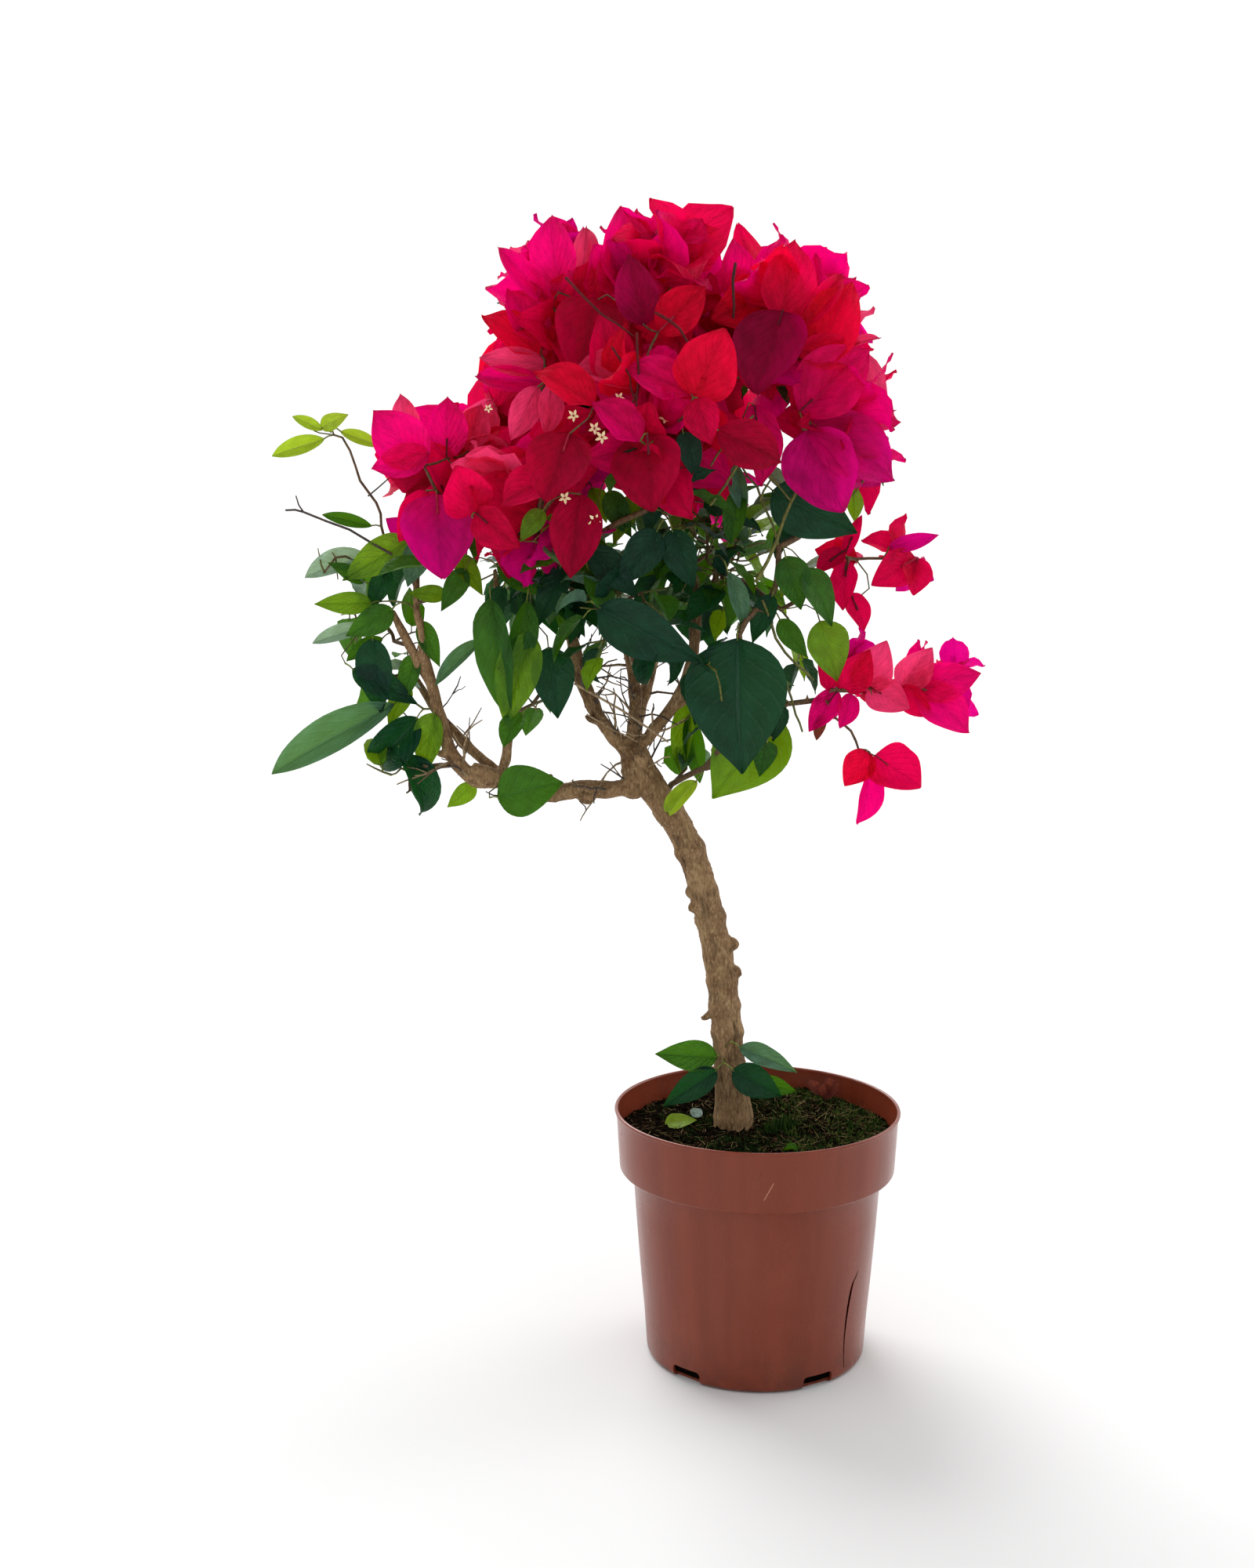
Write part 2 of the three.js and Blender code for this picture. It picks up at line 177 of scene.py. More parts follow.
# %% Lights
def far_light(name, azimuth, height, strength, softness):
    """A soft lamp far away: azimuth 0 stands behind the plant, 90 on its left; degrees."""
    data = bpy.data.lights.new(name, "SUN")
    data.energy = strength
    data.angle = math.radians(softness)
    light = bpy.data.objects.new(name, data)
    bpy.context.scene.collection.objects.link(light)
    light.rotation_euler = (math.radians(-90 + height), 0, math.radians(azimuth))


far_light("back_light", 25, 42, 2.2, 40)
far_light("back_right_light", -60, 25, 0.8, 40)

# %% [markdown]
# ## The nursery pot
# A nursery pot is vacuum formed: one thin skin that goes out in a step to a straight
# collar, so that pots lift out of a tray, and ends in a rolled lip. It could be lathed
# from a profile, but pulling it up ring by ring from its underside is how a thrower
# thinks of it, and gives an inner wall for free: up the outside, over the lip and down
# again. The drain notches and the split that this old pot has are cut afterwards.

# %% Pull the pot up ring by ring
_, pot_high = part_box("pot")
pot_radius = pot_high.x
pot_height = pot_high.z
BASE_RADIUS = 65 * MM
WALL_TOP_RADIUS = 74 * MM
COLLAR_FOOT_RADIUS = 82 * MM
COLLAR_HEIGHT = 37 * MM
WALL = 1.5 * MM
POT_SIDES = 144


def pull_ring(piece_state, height, radius):
    """Extrudes the open edge of a round wall to a new height and radius."""
    old_height, old_radius = piece_state
    bpy.ops.mesh.extrude_region_move(
        TRANSFORM_OT_translate={"value": (0, 0, height - old_height)})
    grow = radius / old_radius
    bpy.ops.transform.resize(value=(grow, grow, 1), center_override=(0, 0, height))
    return height, radius


def arc(centre, radius, start, end, steps):
    """Stations (height, radius) along a rounded corner; angles in degrees, 0 points outwards."""
    stations = []
    for step in range(steps + 1):
        angle = math.radians(start + (end - start) * step / steps)
        stations.append((centre[0] + radius * math.sin(angle), centre[1] + radius * math.cos(angle)))
    return stations


step_height = pot_height - COLLAR_HEIGHT
lip_radius = 1.1 * MM
outer = arc((4 * MM, BASE_RADIUS - 3.4 * MM), 4 * MM, -90, 0, 5)
for share in (0.2, 0.4, 0.6, 0.8, 0.97):
    bulge = 0.5 * MM * math.sin(math.pi * share)
    outer.append((4 * MM + (step_height - 4 * MM) * share,
                  BASE_RADIUS + (WALL_TOP_RADIUS - BASE_RADIUS) * share + bulge))
outer += arc((step_height - 2 * MM, WALL_TOP_RADIUS + 2.4 * MM), 2 * MM, 180, 90, 3)
outer += arc((step_height + 2.2 * MM, COLLAR_FOOT_RADIUS - 2.2 * MM), 2.2 * MM, -90, 0, 4)
for share in (0.3, 0.6, 0.9):
    outer.append((step_height + 2 * MM + (COLLAR_HEIGHT - 5 * MM) * share,
                  COLLAR_FOOT_RADIUS + (pot_radius - 1.2 * MM - COLLAR_FOOT_RADIUS) * share))
outer += arc((pot_height - lip_radius, pot_radius - lip_radius), lip_radius, -60, 200, 9)
inner = [
    (pot_height - 4 * MM, pot_radius - 1.2 * MM - WALL),
    (step_height + 3 * MM, COLLAR_FOOT_RADIUS - WALL),
    (step_height + 1.2 * MM, COLLAR_FOOT_RADIUS - 2.6 * MM),
    (step_height + 0.6 * MM, WALL_TOP_RADIUS - WALL),
    (2.2 * MM, BASE_RADIUS - WALL),
]

deselect()
bpy.ops.mesh.primitive_circle_add(vertices=POT_SIDES, radius=outer[0][1], location=(0, 0, outer[0][0]))
pot = bpy.context.object
pot.name = "nursery_pot"
settle()
start_edit("EDGE")
pick_all()
bpy.ops.mesh.edge_face_add()
pick_all()
bpy.ops.mesh.delete(type="ONLY_FACE")
pick_all()
state = outer[0]
for station in outer[1:] + inner:
    state = pull_ring(state, *station)
bpy.ops.mesh.edge_face_add()
bpy.ops.mesh.select_all(action="DESELECT")
bpy.ops.mesh.select_mode(type="EDGE")
bpy.ops.mesh.select_non_manifold()
bpy.ops.mesh.edge_face_add()
end_edit()
print("pot:", len(pot.data.polygons), "faces,", POT_SIDES, "round")
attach(pot, "root")
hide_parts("pot")

# %% [markdown]
# ### Drain notches and the split
# Five notches with round corners let water out at the foot, and this old pot has split
# from its foot to halfway up the wall. Both could be drawn in the wall's rings, but
# that would spoil its even spacing, so each is a block pushed through the wall and cut
# away. The split's block goes in at a slant, as a tear does, so that it shows dark.

# %% Cut the drain notches and the split
def cut_away(piece, cutter):
    """Takes the cutter's shape out of a piece, then throws the cutter away."""
    choose(piece)
    work_in(piece, "BOOLEAN", operation="DIFFERENCE", solver="EXACT", object=cutter)
    bpy.data.objects.remove(cutter)


def pick(mesh_edit, wanted):
    """Selects exactly the corners that wanted() accepts, in edit mode."""
    shape = bmesh.from_edit_mesh(mesh_edit)
    for corner in shape.verts:
        corner.select = wanted(corner.co)
    shape.select_flush_mode()
    bmesh.update_edit_mesh(mesh_edit)


NOTCH_BEARING = 30.5
NOTCH_COUNT = 5
NOTCH_WIDTH = 20 * MM
NOTCH_HEIGHT = 8 * MM
NOTCH_DEPTH = 9 * MM
NOTCH_CORNER = 2.5 * MM
for notch in range(NOTCH_COUNT):
    deselect()
    bpy.ops.mesh.primitive_cube_add(size=1, location=(0, -BASE_RADIUS, 0),
                                    scale=(NOTCH_WIDTH, NOTCH_DEPTH, 2 * NOTCH_HEIGHT))
    cutter = bpy.context.object
    settle()
    start_edit("VERT")
    for side in (-1, 1):
        pick(cutter.data, lambda co, side=side: co.z > 0 and co.x * side > 0)
        bpy.ops.mesh.bevel(offset=NOTCH_CORNER, segments=4, affect="EDGES")
    bpy.ops.object.mode_set(mode="OBJECT")
    cutter.rotation_euler.z = math.radians(NOTCH_BEARING + notch * 360 / NOTCH_COUNT)
    settle()
    cut_away(pot, cutter)

CRACK_BEARING = 48.5
# the split from its foot up: side, height and width in millimetres
crack_course = [(0.4, 7, 0.5), (-1.0, 16, 0.8), (-1.6, 26, 1.2), (-1.4, 36, 1.7), (-0.6, 45, 2.1),
                (0.3, 51, 2.3), (1.5, 56.5, 2.1), (2.7, 59.5, 1.7), (4.6, 61.2, 1.5), (6.8, 65.0, 0.4)]
SLANT = 0.8
STARTS_BEFORE = 14
CUT_DEPTH = 30 * MM
wall_lean = (WALL_TOP_RADIUS - BASE_RADIUS) / step_height
crack_course = [(side - SLANT * (STARTS_BEFORE - wall_lean * height), height, width)
                for side, height, width in crack_course]
side, height, width = crack_course[0]
deselect()
bpy.ops.mesh.primitive_plane_add(size=1, rotation=(math.pi / 2, 0, 0),
                                 location=(side * MM, -BASE_RADIUS - STARTS_BEFORE * MM, (height - 0.5) * MM))
cutter = bpy.context.object
cutter.scale = (width * MM, 1 * MM, 1)
settle()
start_edit("VERT")
top = max(corner.co.z for corner in cutter.data.vertices)
pick(cutter.data, lambda co: co.z > top - 1e-5)
for next_side, next_height, next_width in crack_course[1:]:
    bpy.ops.mesh.extrude_region_move(TRANSFORM_OT_translate={
        "value": ((next_side - side) * MM, 0, (next_height - height) * MM)})
    bpy.ops.transform.resize(value=(next_width / width, 1, 1),
                             center_override=(next_side * MM, 0, 0))
    side, height, width = next_side, next_height, next_width
pick_all()
bpy.ops.mesh.extrude_region_move(TRANSFORM_OT_translate={"value": (SLANT * CUT_DEPTH, CUT_DEPTH, 0)})
end_edit()
cutter.rotation_euler.z = math.radians(CRACK_BEARING)
settle()
cut_away(pot, cutter)
choose(pot)
bpy.ops.object.shade_smooth_by_angle(angle=math.radians(32))
print("pot after its cuts:", len(pot.data.polygons), "faces")

# %% [markdown]
# ### The pot's plastic
# The real finish is recycled terracotta-coloured plastic: satin, a little streaked from
# top to bottom where the sheet was drawn into the mould, dusted with peat near the
# ground and scuffed on the collar. All of it is noise on the pot's own coordinates, at
# three scales: streaks, clouds and a fine grain that only the bump sees.

# %% Helpers for finishes
def chip(red, green, blue):
    """A colour as a paint chip is read on a screen, 0 to 255, as the light that it returns."""
    return tuple((part / 255 / 12.92) if part < 11 else ((part / 255 + 0.055) / 1.055) ** 2.4
                 for part in (red, green, blue))


def speckle(material, scale, stretch=(1, 1, 1), detail=4, roughness=0.55):
    """Noise on the piece's own coordinates; returns the socket."""
    tree = material.node_tree
    place = node_of(tree, "ShaderNodeTexCoord")
    mapping = node_of(tree, "ShaderNodeMapping")
    mapping.inputs["Scale"].default_value = stretch
    cloud = node_of(tree, "ShaderNodeTexNoise")
    cloud.inputs["Scale"].default_value = scale
    cloud.inputs["Detail"].default_value = detail
    cloud.inputs["Roughness"].default_value = roughness
    tree.links.new(place.outputs["Object"], mapping.inputs["Vector"])
    tree.links.new(mapping.outputs["Vector"], cloud.inputs["Vector"])
    return cloud.outputs["Fac"]


def spread_range(material, value, low, high, out_low=0.0, out_high=1.0):
    """Stretches values between low and high over a new range, clamped at both ends."""
    tree = material.node_tree
    ramp = node_of(tree, "ShaderNodeMapRange")
    tree.links.new(value, ramp.inputs["Value"])
    for name, number in (("From Min", low), ("From Max", high), ("To Min", out_low), ("To Max", out_high)):
        ramp.inputs[name].default_value = number
    return ramp.outputs["Result"]


def mix_colours(material, share, first, second):
    """Mixes two colours, each a triple or a socket, by a socket from 0 to 1."""
    tree = material.node_tree
    mix = node_of(tree, "ShaderNodeMix", data_type="RGBA")
    tree.links.new(share, mix.inputs[0])
    for slot, colour in ((6, first), (7, second)):
        if isinstance(colour, tuple):
            mix.inputs[slot].default_value = (*colour, 1)
        else:
            tree.links.new(colour, mix.inputs[slot])
    return mix.outputs[2]


def bump(material, height, distance, strength=1.0, under=None):
    """Turns a height socket into a bump, on top of an earlier bump where one is given."""
    tree = material.node_tree
    node = node_of(tree, "ShaderNodeBump")
    node.inputs["Distance"].default_value = distance
    node.inputs["Strength"].default_value = strength
    tree.links.new(height, node.inputs["Height"])
    if under is not None:
        tree.links.new(under, node.inputs["Normal"])
    return node.outputs["Normal"]


def feed(material, **sockets):
    """Links sockets to the shader's inputs; an underscore in a name stands for a space."""
    shader = material.node_tree.nodes["Principled BSDF"]
    for name, socket in sockets.items():
        material.node_tree.links.new(socket, shader.inputs[name.replace("_", " ")])
    return shader


# %% Terracotta-coloured plastic
def on_line(material, coordinates, start, run, length, breadth):
    """1 on a fine scratch in the upright plane through the axis, on the front; 0 elsewhere."""
    tree = material.node_tree

    def along(direction, offset):
        dot = node_of(tree, "ShaderNodeVectorMath", operation="DOT_PRODUCT")
        tree.links.new(coordinates, dot.inputs[0])
        dot.inputs[1].default_value = direction
        less = node_of(tree, "ShaderNodeMath", operation="SUBTRACT")
        tree.links.new(dot.outputs["Value"], less.inputs[0])
        less.inputs[1].default_value = offset
        return less.outputs[0]

    def both(first, second):
        product = node_of(tree, "ShaderNodeMath", operation="MULTIPLY")
        tree.links.new(first, product.inputs[0])
        tree.links.new(second, product.inputs[1])
        return product.outputs[0]

    aside = Vector((run.z, 0, -run.x))
    off = node_of(tree, "ShaderNodeMath", operation="ABSOLUTE")
    tree.links.new(along(aside, aside.dot(start)), off.inputs[0])
    distance = along(run, run.dot(start))
    past_start = spread_range(material, distance, 0, 1 * MM)
    before_end = spread_range(material, distance, length, length - 1 * MM)
    inside_ends = both(past_start, before_end)
    in_front = spread_range(material, along(Vector((0, 1, 0)), 0), -20 * MM, -30 * MM)
    return both(both(spread_range(material, off.outputs[0], breadth, breadth * 0.4), inside_ends), in_front)


pot_plastic = plain_material("terracotta_plastic", chip(122, 52, 32), 0.34, gloss=0.32)
streaks = speckle(pot_plastic, 60, (1, 1, 0.06), detail=3)
clouds = speckle(pot_plastic, 22, detail=5)
grain = speckle(pot_plastic, 2600, detail=2)
skin = mix_colours(pot_plastic, spread_range(pot_plastic, streaks, 0.35, 0.65),
                   chip(116, 49, 30), chip(127, 56, 36))
skin = mix_colours(pot_plastic, spread_range(pot_plastic, clouds, 0.52, 0.75, 0, 0.45),
                   skin, chip(134, 66, 46))
height_node = node_of(pot_plastic.node_tree, "ShaderNodeSeparateXYZ")
pot_place = node_of(pot_plastic.node_tree, "ShaderNodeTexCoord")
pot_plastic.node_tree.links.new(pot_place.outputs["Object"], height_node.inputs[0])
low_down = spread_range(pot_plastic, height_node.outputs["Z"], 0.030, 0.002, 0, 0.5)
dust_share = node_of(pot_plastic.node_tree, "ShaderNodeMath", operation="MULTIPLY")
pot_plastic.node_tree.links.new(low_down, dust_share.inputs[0])
pot_plastic.node_tree.links.new(spread_range(pot_plastic, speckle(pot_plastic, 90, detail=6), 0.42, 0.62),
                                dust_share.inputs[1])
skin = mix_colours(pot_plastic, dust_share.outputs[0], skin, chip(78, 42, 28))
scratch_start, scratch_end = Vector((-1.5, 0, 122.5)) * MM, Vector((4.3, 0, 133.5)) * MM
scratch_run = (scratch_end - scratch_start).normalized()
skin = mix_colours(pot_plastic, on_line(pot_plastic, pot_place.outputs["Object"], scratch_start, scratch_run,
                                        (scratch_end - scratch_start).length, 0.22 * MM),
                   skin, chip(206, 150, 118))
scuffs = spread_range(pot_plastic, speckle(pot_plastic, 35, (1, 1, 0.4), detail=8, roughness=0.7),
                      0.44, 0.68, 0.22, 0.34)
ripple = bump(pot_plastic, streaks, 0.3 * MM, 0.12)
shader = feed(pot_plastic, Base_Color=skin, Roughness=scuffs,
              Normal=bump(pot_plastic, grain, 0.05 * MM, 0.5, under=ripple))
shader.inputs["Subsurface Weight"].default_value = 0.06
shader.inputs["Subsurface Radius"].default_value = (0.004, 0.0015, 0.001)
pot.data.materials.clear()
pot.data.materials.append(pot_plastic)
print("plastic:", len(pot_plastic.node_tree.nodes), "nodes")

# %% [markdown]
# ## Peat, moss and litter
# The compost is a plug of peat a finger's breadth below the lip. Its surface is never
# flat: watering heaves and sinks it, moss takes the damp side, and dry bracts, straws
# and crumbs lie about. The plug is pulled ring by ring like the pot, its top corners are
# heaved by noise, and thousands of little crumbs, moss shoots and fibres are scattered on
# it. Each of those is modelled once and laid down by one function that turns and sizes
# it, and all of one kind end up in one joined mesh.

# %% Pull the plug of peat
soil_low, soil_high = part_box("soil")
SOIL_TOP = soil_high.z - 2 * MM
SOIL_EDGE = soil_high.x
floor_of_soil = soil_low.z
foot_radius = BASE_RADIUS - 2.4 * MM
deselect()
bpy.ops.mesh.primitive_circle_add(vertices=POT_SIDES, radius=foot_radius, fill_type="NGON",
                                  location=(0, 0, floor_of_soil))
peat_plug = bpy.context.object
peat_plug.name = "peat"
settle()
start_edit("EDGE")
pick_all()
bpy.ops.mesh.extrude_region_move(TRANSFORM_OT_translate={"value": (0, 0, 0)})
state = (floor_of_soil, foot_radius)
climb = [(step_height - 2 * MM, WALL_TOP_RADIUS - 2.4 * MM),
         (step_height + 4 * MM, COLLAR_FOOT_RADIUS - 3.4 * MM), (SOIL_TOP - 4 * MM, SOIL_EDGE)]
rings = 60
inwards = [(SOIL_TOP, SOIL_EDGE * (1 - ring / rings)) for ring in range(rings - 1)]
for station in climb + inwards:
    bpy.ops.transform.translate(value=(0, 0, station[0] - state[0]))
    grow = station[1] / state[1]
    bpy.ops.transform.resize(value=(grow, grow, 1), center_override=(0, 0, station[0]))
    if station is not inwards[-1]:
        bpy.ops.mesh.extrude_region_move(TRANSFORM_OT_translate={"value": (0, 0, 0)})
    state = station
pick_all()
bpy.ops.mesh.remove_doubles(threshold=1e-6)
end_edit()
print("peat plug:", len(peat_plug.data.polygons), "faces")


# %% Heave its top
def heave(x, y):
    """Height of the peat's surface over its mean level, in metres."""
    place = Vector((x, y, 0))
    swell = 2.4 * noise.noise(place * 22)
    clods = 2.0 * abs(noise.noise(place * 75 + Vector((3, 1, 0))))
    crumbs = 1.4 * noise.fractal(place * 240, 0.8, 2.0, 4)
    collar = 2.5 * math.exp(-((x - STEM_FOOT.x) ** 2 + (y - STEM_FOOT.y) ** 2) / (14 * MM) ** 2)
    sink = -3.0 * max(0.0, (math.hypot(x, y) / SOIL_EDGE - 0.86) / 0.14) ** 2
    return (swell + clods + crumbs + collar + sink) * MM


trunk_low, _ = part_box("trunk")
trunk_corners = [corner.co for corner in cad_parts["trunk"].data.vertices]
foot_corners = [place for place in trunk_corners if place.z < trunk_low.z + 1 * MM]
STEM_FOOT = sum(foot_corners, Vector()) / len(foot_corners)
for corner in peat_plug.data.vertices:
    if corner.co.z > SOIL_TOP - 1 * MM:
        corner.co.z += heave(corner.co.x, corner.co.y)
choose(peat_plug)
bpy.ops.object.shade_smooth()
print("stem foot at", [round(part / MM, 1) for part in STEM_FOOT])

# %% [markdown]
# ### Laying down many small things
# A blade, a crumb and a thorn are all the same job: a small shape modelled once, then
# set down many times with its own size, place and turn. A heap keeps the copies as
# arrays, with one colour number for each face, and becomes a single mesh at the end.
# The random draws all come from one seeded generator, so each run grows the same plant.

# %% Heaps
chance = random.Random(20)


def unit(direction):
    direction = np.asarray(direction, float)
    return direction / max(np.linalg.norm(direction), 1e-9)


def any_direction():
    return unit([chance.gauss(0, 1) for _ in range(3)])


def square_to(direction, hint):
    """The direction nearest to hint that is square to another one."""
    direction, hint = unit(direction), np.asarray(hint, float)
    side = hint - direction * np.dot(hint, direction)
    if np.linalg.norm(side) < 1e-6:
        side = np.cross(direction, (0.3, 0.5, 0.8))
    return unit(side)


def take_shape(piece):
    """Reads a modelled shape into arrays and removes the model."""
    mesh = piece.data
    shape = {
        "corners": np.array([corner.co[:] for corner in mesh.vertices]),
        "faces": [tuple(face.vertices) for face in mesh.polygons],
        "finish": np.array([face.material_index for face in mesh.polygons]),
    }
    uv = np.zeros((len(mesh.vertices), 2))
    if mesh.uv_layers:
        for loop, entry in zip(mesh.loops, mesh.uv_layers[0].data):
            uv[loop.vertex_index] = entry.uv[:]
    shape["uv"] = uv
    bpy.data.objects.remove(piece)
    return shape


def new_heap():
    return {"corners": [], "faces": [], "finish": [], "uv": [], "count": 0}


def lay(heap, shape, place, along, face, length, breadth=None, finish=0):
    """Sets a copy down: its root at place, its +Y along a direction, its +Z facing another."""
    along = unit(along)
    face = square_to(along, face)
    across = np.cross(along, face)
    breadth = length if breadth is None else breadth
    corners = shape["corners"]
    placed = (np.outer(corners[:, 0] * breadth, across) + np.outer(corners[:, 1] * length, along)
              + np.outer(corners[:, 2] * length, face) + np.asarray(place, float))
    over = np.maximum(placed.max(0) - ROOM[1], 0) - np.maximum(ROOM[0] - placed.min(0), 0)
    placed -= over
    heap["corners"].append(placed)
    heap["faces"].extend(tuple(heap["count"] + corner for corner in face) for face in shape["faces"])
    heap["finish"].extend((shape["finish"] + finish).tolist())
    heap["uv"].append(shape["uv"])
    heap["count"] += len(corners)
    return placed


def pour(heap, name, materials, replaced):
    """Makes one piece of a heap."""
    mesh = bpy.data.meshes.new(name)
    mesh.from_pydata(np.concatenate(heap["corners"]).tolist(), [], heap["faces"])
    for material in materials:
        mesh.materials.append(material)
    mesh.polygons.foreach_set("material_index", heap["finish"])
    uv = np.concatenate(heap["uv"])
    corner_of_loop = np.zeros(len(mesh.loops), int)
    mesh.loops.foreach_get("vertex_index", corner_of_loop)
    layer = mesh.uv_layers.new(name="blade")
    layer.data.foreach_set("uv", uv[corner_of_loop].ravel())
    mesh.polygons.foreach_set("use_smooth", [True] * len(mesh.polygons))
    mesh.update()
    piece = bpy.data.objects.new(name, mesh)
    bpy.context.scene.collection.objects.link(piece)
    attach(piece, "root")
    if replaced:
        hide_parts(*replaced)
    triangles = sum(len(face) - 2 for face in heap["faces"])
    print(name + ":", triangles, "triangles")
    return piece


EDGE = 0.5 * MM
ROOM = (np.array(cad_low) + EDGE, np.array(cad_high) - EDGE)

# %% [markdown]
# ### The shapes that are laid down
# Peat is crumbs, moss is tiny pointed shoots, and litter is bent fibres. A crumb is a
# ball pushed in and out. A shoot and a fibre are blades, like the bracts and leaves
# further on: a flat grid, drawn in row by row to an outline, then folded and bent.

# %% Shapes for the litter
def rough_lump(name, unevenness):
    """A crumb: a faceted ball pushed in and out."""
    deselect()
    bpy.ops.mesh.primitive_ico_sphere_add(subdivisions=1, radius=0.5, location=(0, 0, 0))
    lump = bpy.context.object
    lump.name = name
    for corner in lump.data.vertices:
        corner.co *= 1 + unevenness * noise.noise(corner.co * 2.3 + Vector((len(name), 0, 0)))
    return take_shape(lump)


def model_blade(name, outline, arch, fold, curl=0.0, wave=0.03, columns=6, smooth=False, rib=0.0):
    """Models a blade of length 1 along +Y, facing +Z, from a flat grid.

    outline: (distance along, width) for each row; arch: degrees of bend at each row;
    fold: degrees that each half lifts; curl: more lift for the outer part of each half.
    """
    rows = len(outline) - 1
    deselect()
    bpy.ops.mesh.primitive_grid_add(x_subdivisions=columns, y_subdivisions=rows, size=1, location=(0, 0.5, 0),
                                    calc_uvs=True)
    blade = bpy.context.object
    blade.name = name
    settle()
    start_edit("VERT")
    mesh = blade.data
    if rib:
        for side in (-1, 1):
            for column, place in ((1, rib), (2, 4 * rib)):
                pick(mesh, lambda co: abs(co.x - side * column / columns) < 0.01)
                bpy.ops.transform.translate(value=(side * (place - column / columns), 0, 0))
    for row in reversed(range(rows + 1)):
        distance, width = outline[row]
        pick(mesh, lambda co: abs(co.y - row / rows) < 0.001)
        bpy.ops.transform.resize(value=(width, 1, 1), center_override=(0, 0, 0))
    shape = bmesh.from_edit_mesh(mesh)
    row_of = {corner.index: round(corner.co.y * rows) for corner in shape.verts}
    share_of = {}
    for corner in shape.verts:
        distance, width = outline[row_of[corner.index]]
        share_of[corner.index] = corner.co.x / max(width, 1e-4)
        corner.co.y = distance
    bmesh.update_edit_mesh(mesh)
    for side in (-1, 1):
        for start, degrees in ((0.02, fold), (0.3, curl)):
            shape = bmesh.from_edit_mesh(mesh)
            for corner in shape.verts:
                corner.select = share_of[corner.index] * side > start
            shape.select_flush_mode()
            bmesh.update_edit_mesh(mesh)
            if degrees:
                hinge = 0.0 if start < 0.1 else side * start * 0.6
                bpy.ops.transform.rotate(value=math.radians(side * degrees), orient_axis="Y",
                                         center_override=(hinge, 0, 0))
    for row in range(1, rows + 1):
        shape = bmesh.from_edit_mesh(mesh)
        spine = [corner for corner in shape.verts
                 if row_of[corner.index] == row and abs(share_of[corner.index]) < 0.1]
        hinge = sum((corner.co for corner in spine), Vector()) / max(len(spine), 1)
        for corner in shape.verts:
            corner.select = row_of[corner.index] > row
        shape.select_flush_mode()
        bmesh.update_edit_mesh(mesh)
        if row < rows:
            bpy.ops.transform.rotate(value=math.radians(arch[min(row, len(arch)) - 1]), orient_axis="X",
                                     center_override=hinge)
    bpy.ops.object.mode_set(mode="OBJECT")
    shift = Vector((sum(map(ord, name)) % 17, 0, 0))
    for corner in mesh.vertices:
        share = min(1.0, abs(share_of[corner.index]) * 2)
        lift = noise.noise(Vector((corner.co.x * 3, corner.co.y * 5, 0)) + shift)
        corner.co.z += wave * lift * (0.35 + share)
        corner.co.z += wave * 0.35 * noise.noise(Vector((corner.co.x * 9, corner.co.y * 9, 2)) + shift)
        corner.co.x += wave * 0.5 * share * noise.noise(Vector((corner.co.y * 6, corner.co.x * 2, 4)) + shift)
    if rib:
        for face in mesh.polygons:
            middle = sum(share_of[index] for index in face.vertices) / len(face.vertices)
            face.material_index = 1 if abs(middle) < rib else 0
    if smooth:
        choose(blade)
        work_in(blade, "SUBSURF", levels=1, render_levels=1)
    return take_shape(blade)


crumb_shapes = [rough_lump("crumb_a", 0.9), rough_lump("crumb_b", 0.7)]
SHOOT = [(0, 0.10), (0.5, 0.30), (1, 0.02)]
FIBRE = [(0, 0.03), (0.33, 0.035), (0.66, 0.03), (1, 0.01)]
moss_shoot = model_blade("moss_shoot", SHOOT, (25,), 20, wave=0.0, columns=2)
fibre = model_blade("fibre", FIBRE, (18, -26), 30, wave=0.05, columns=2)
print("moss shoot:", len(moss_shoot["faces"]), "faces, crumb:", len(crumb_shapes[0]["faces"]))


# %% [markdown]
# ### Scattering
# Crumbs lie everywhere, moss where the damp keeps, which is on the right, and straws and
# fibres mostly where there is no moss. A ferny clump of long shoots grows by the stem.

# %% Scatter the litter
CRUMBS = 2200
TUFTS = 1500
SHOOTS_IN_TUFT = 6
CLUMP_SHOOTS = 60
STRAWS = 1700


def ground(x, y):
    """The place on the peat's surface over x and y."""
    return np.array([x, y, SOIL_TOP + heave(x, y)])


def on_soil(reach=0.97):
    angle = chance.uniform(0, 2 * math.pi)
    radius = SOIL_EDGE * reach * math.sqrt(chance.random())
    return radius * math.cos(angle), radius * math.sin(angle)


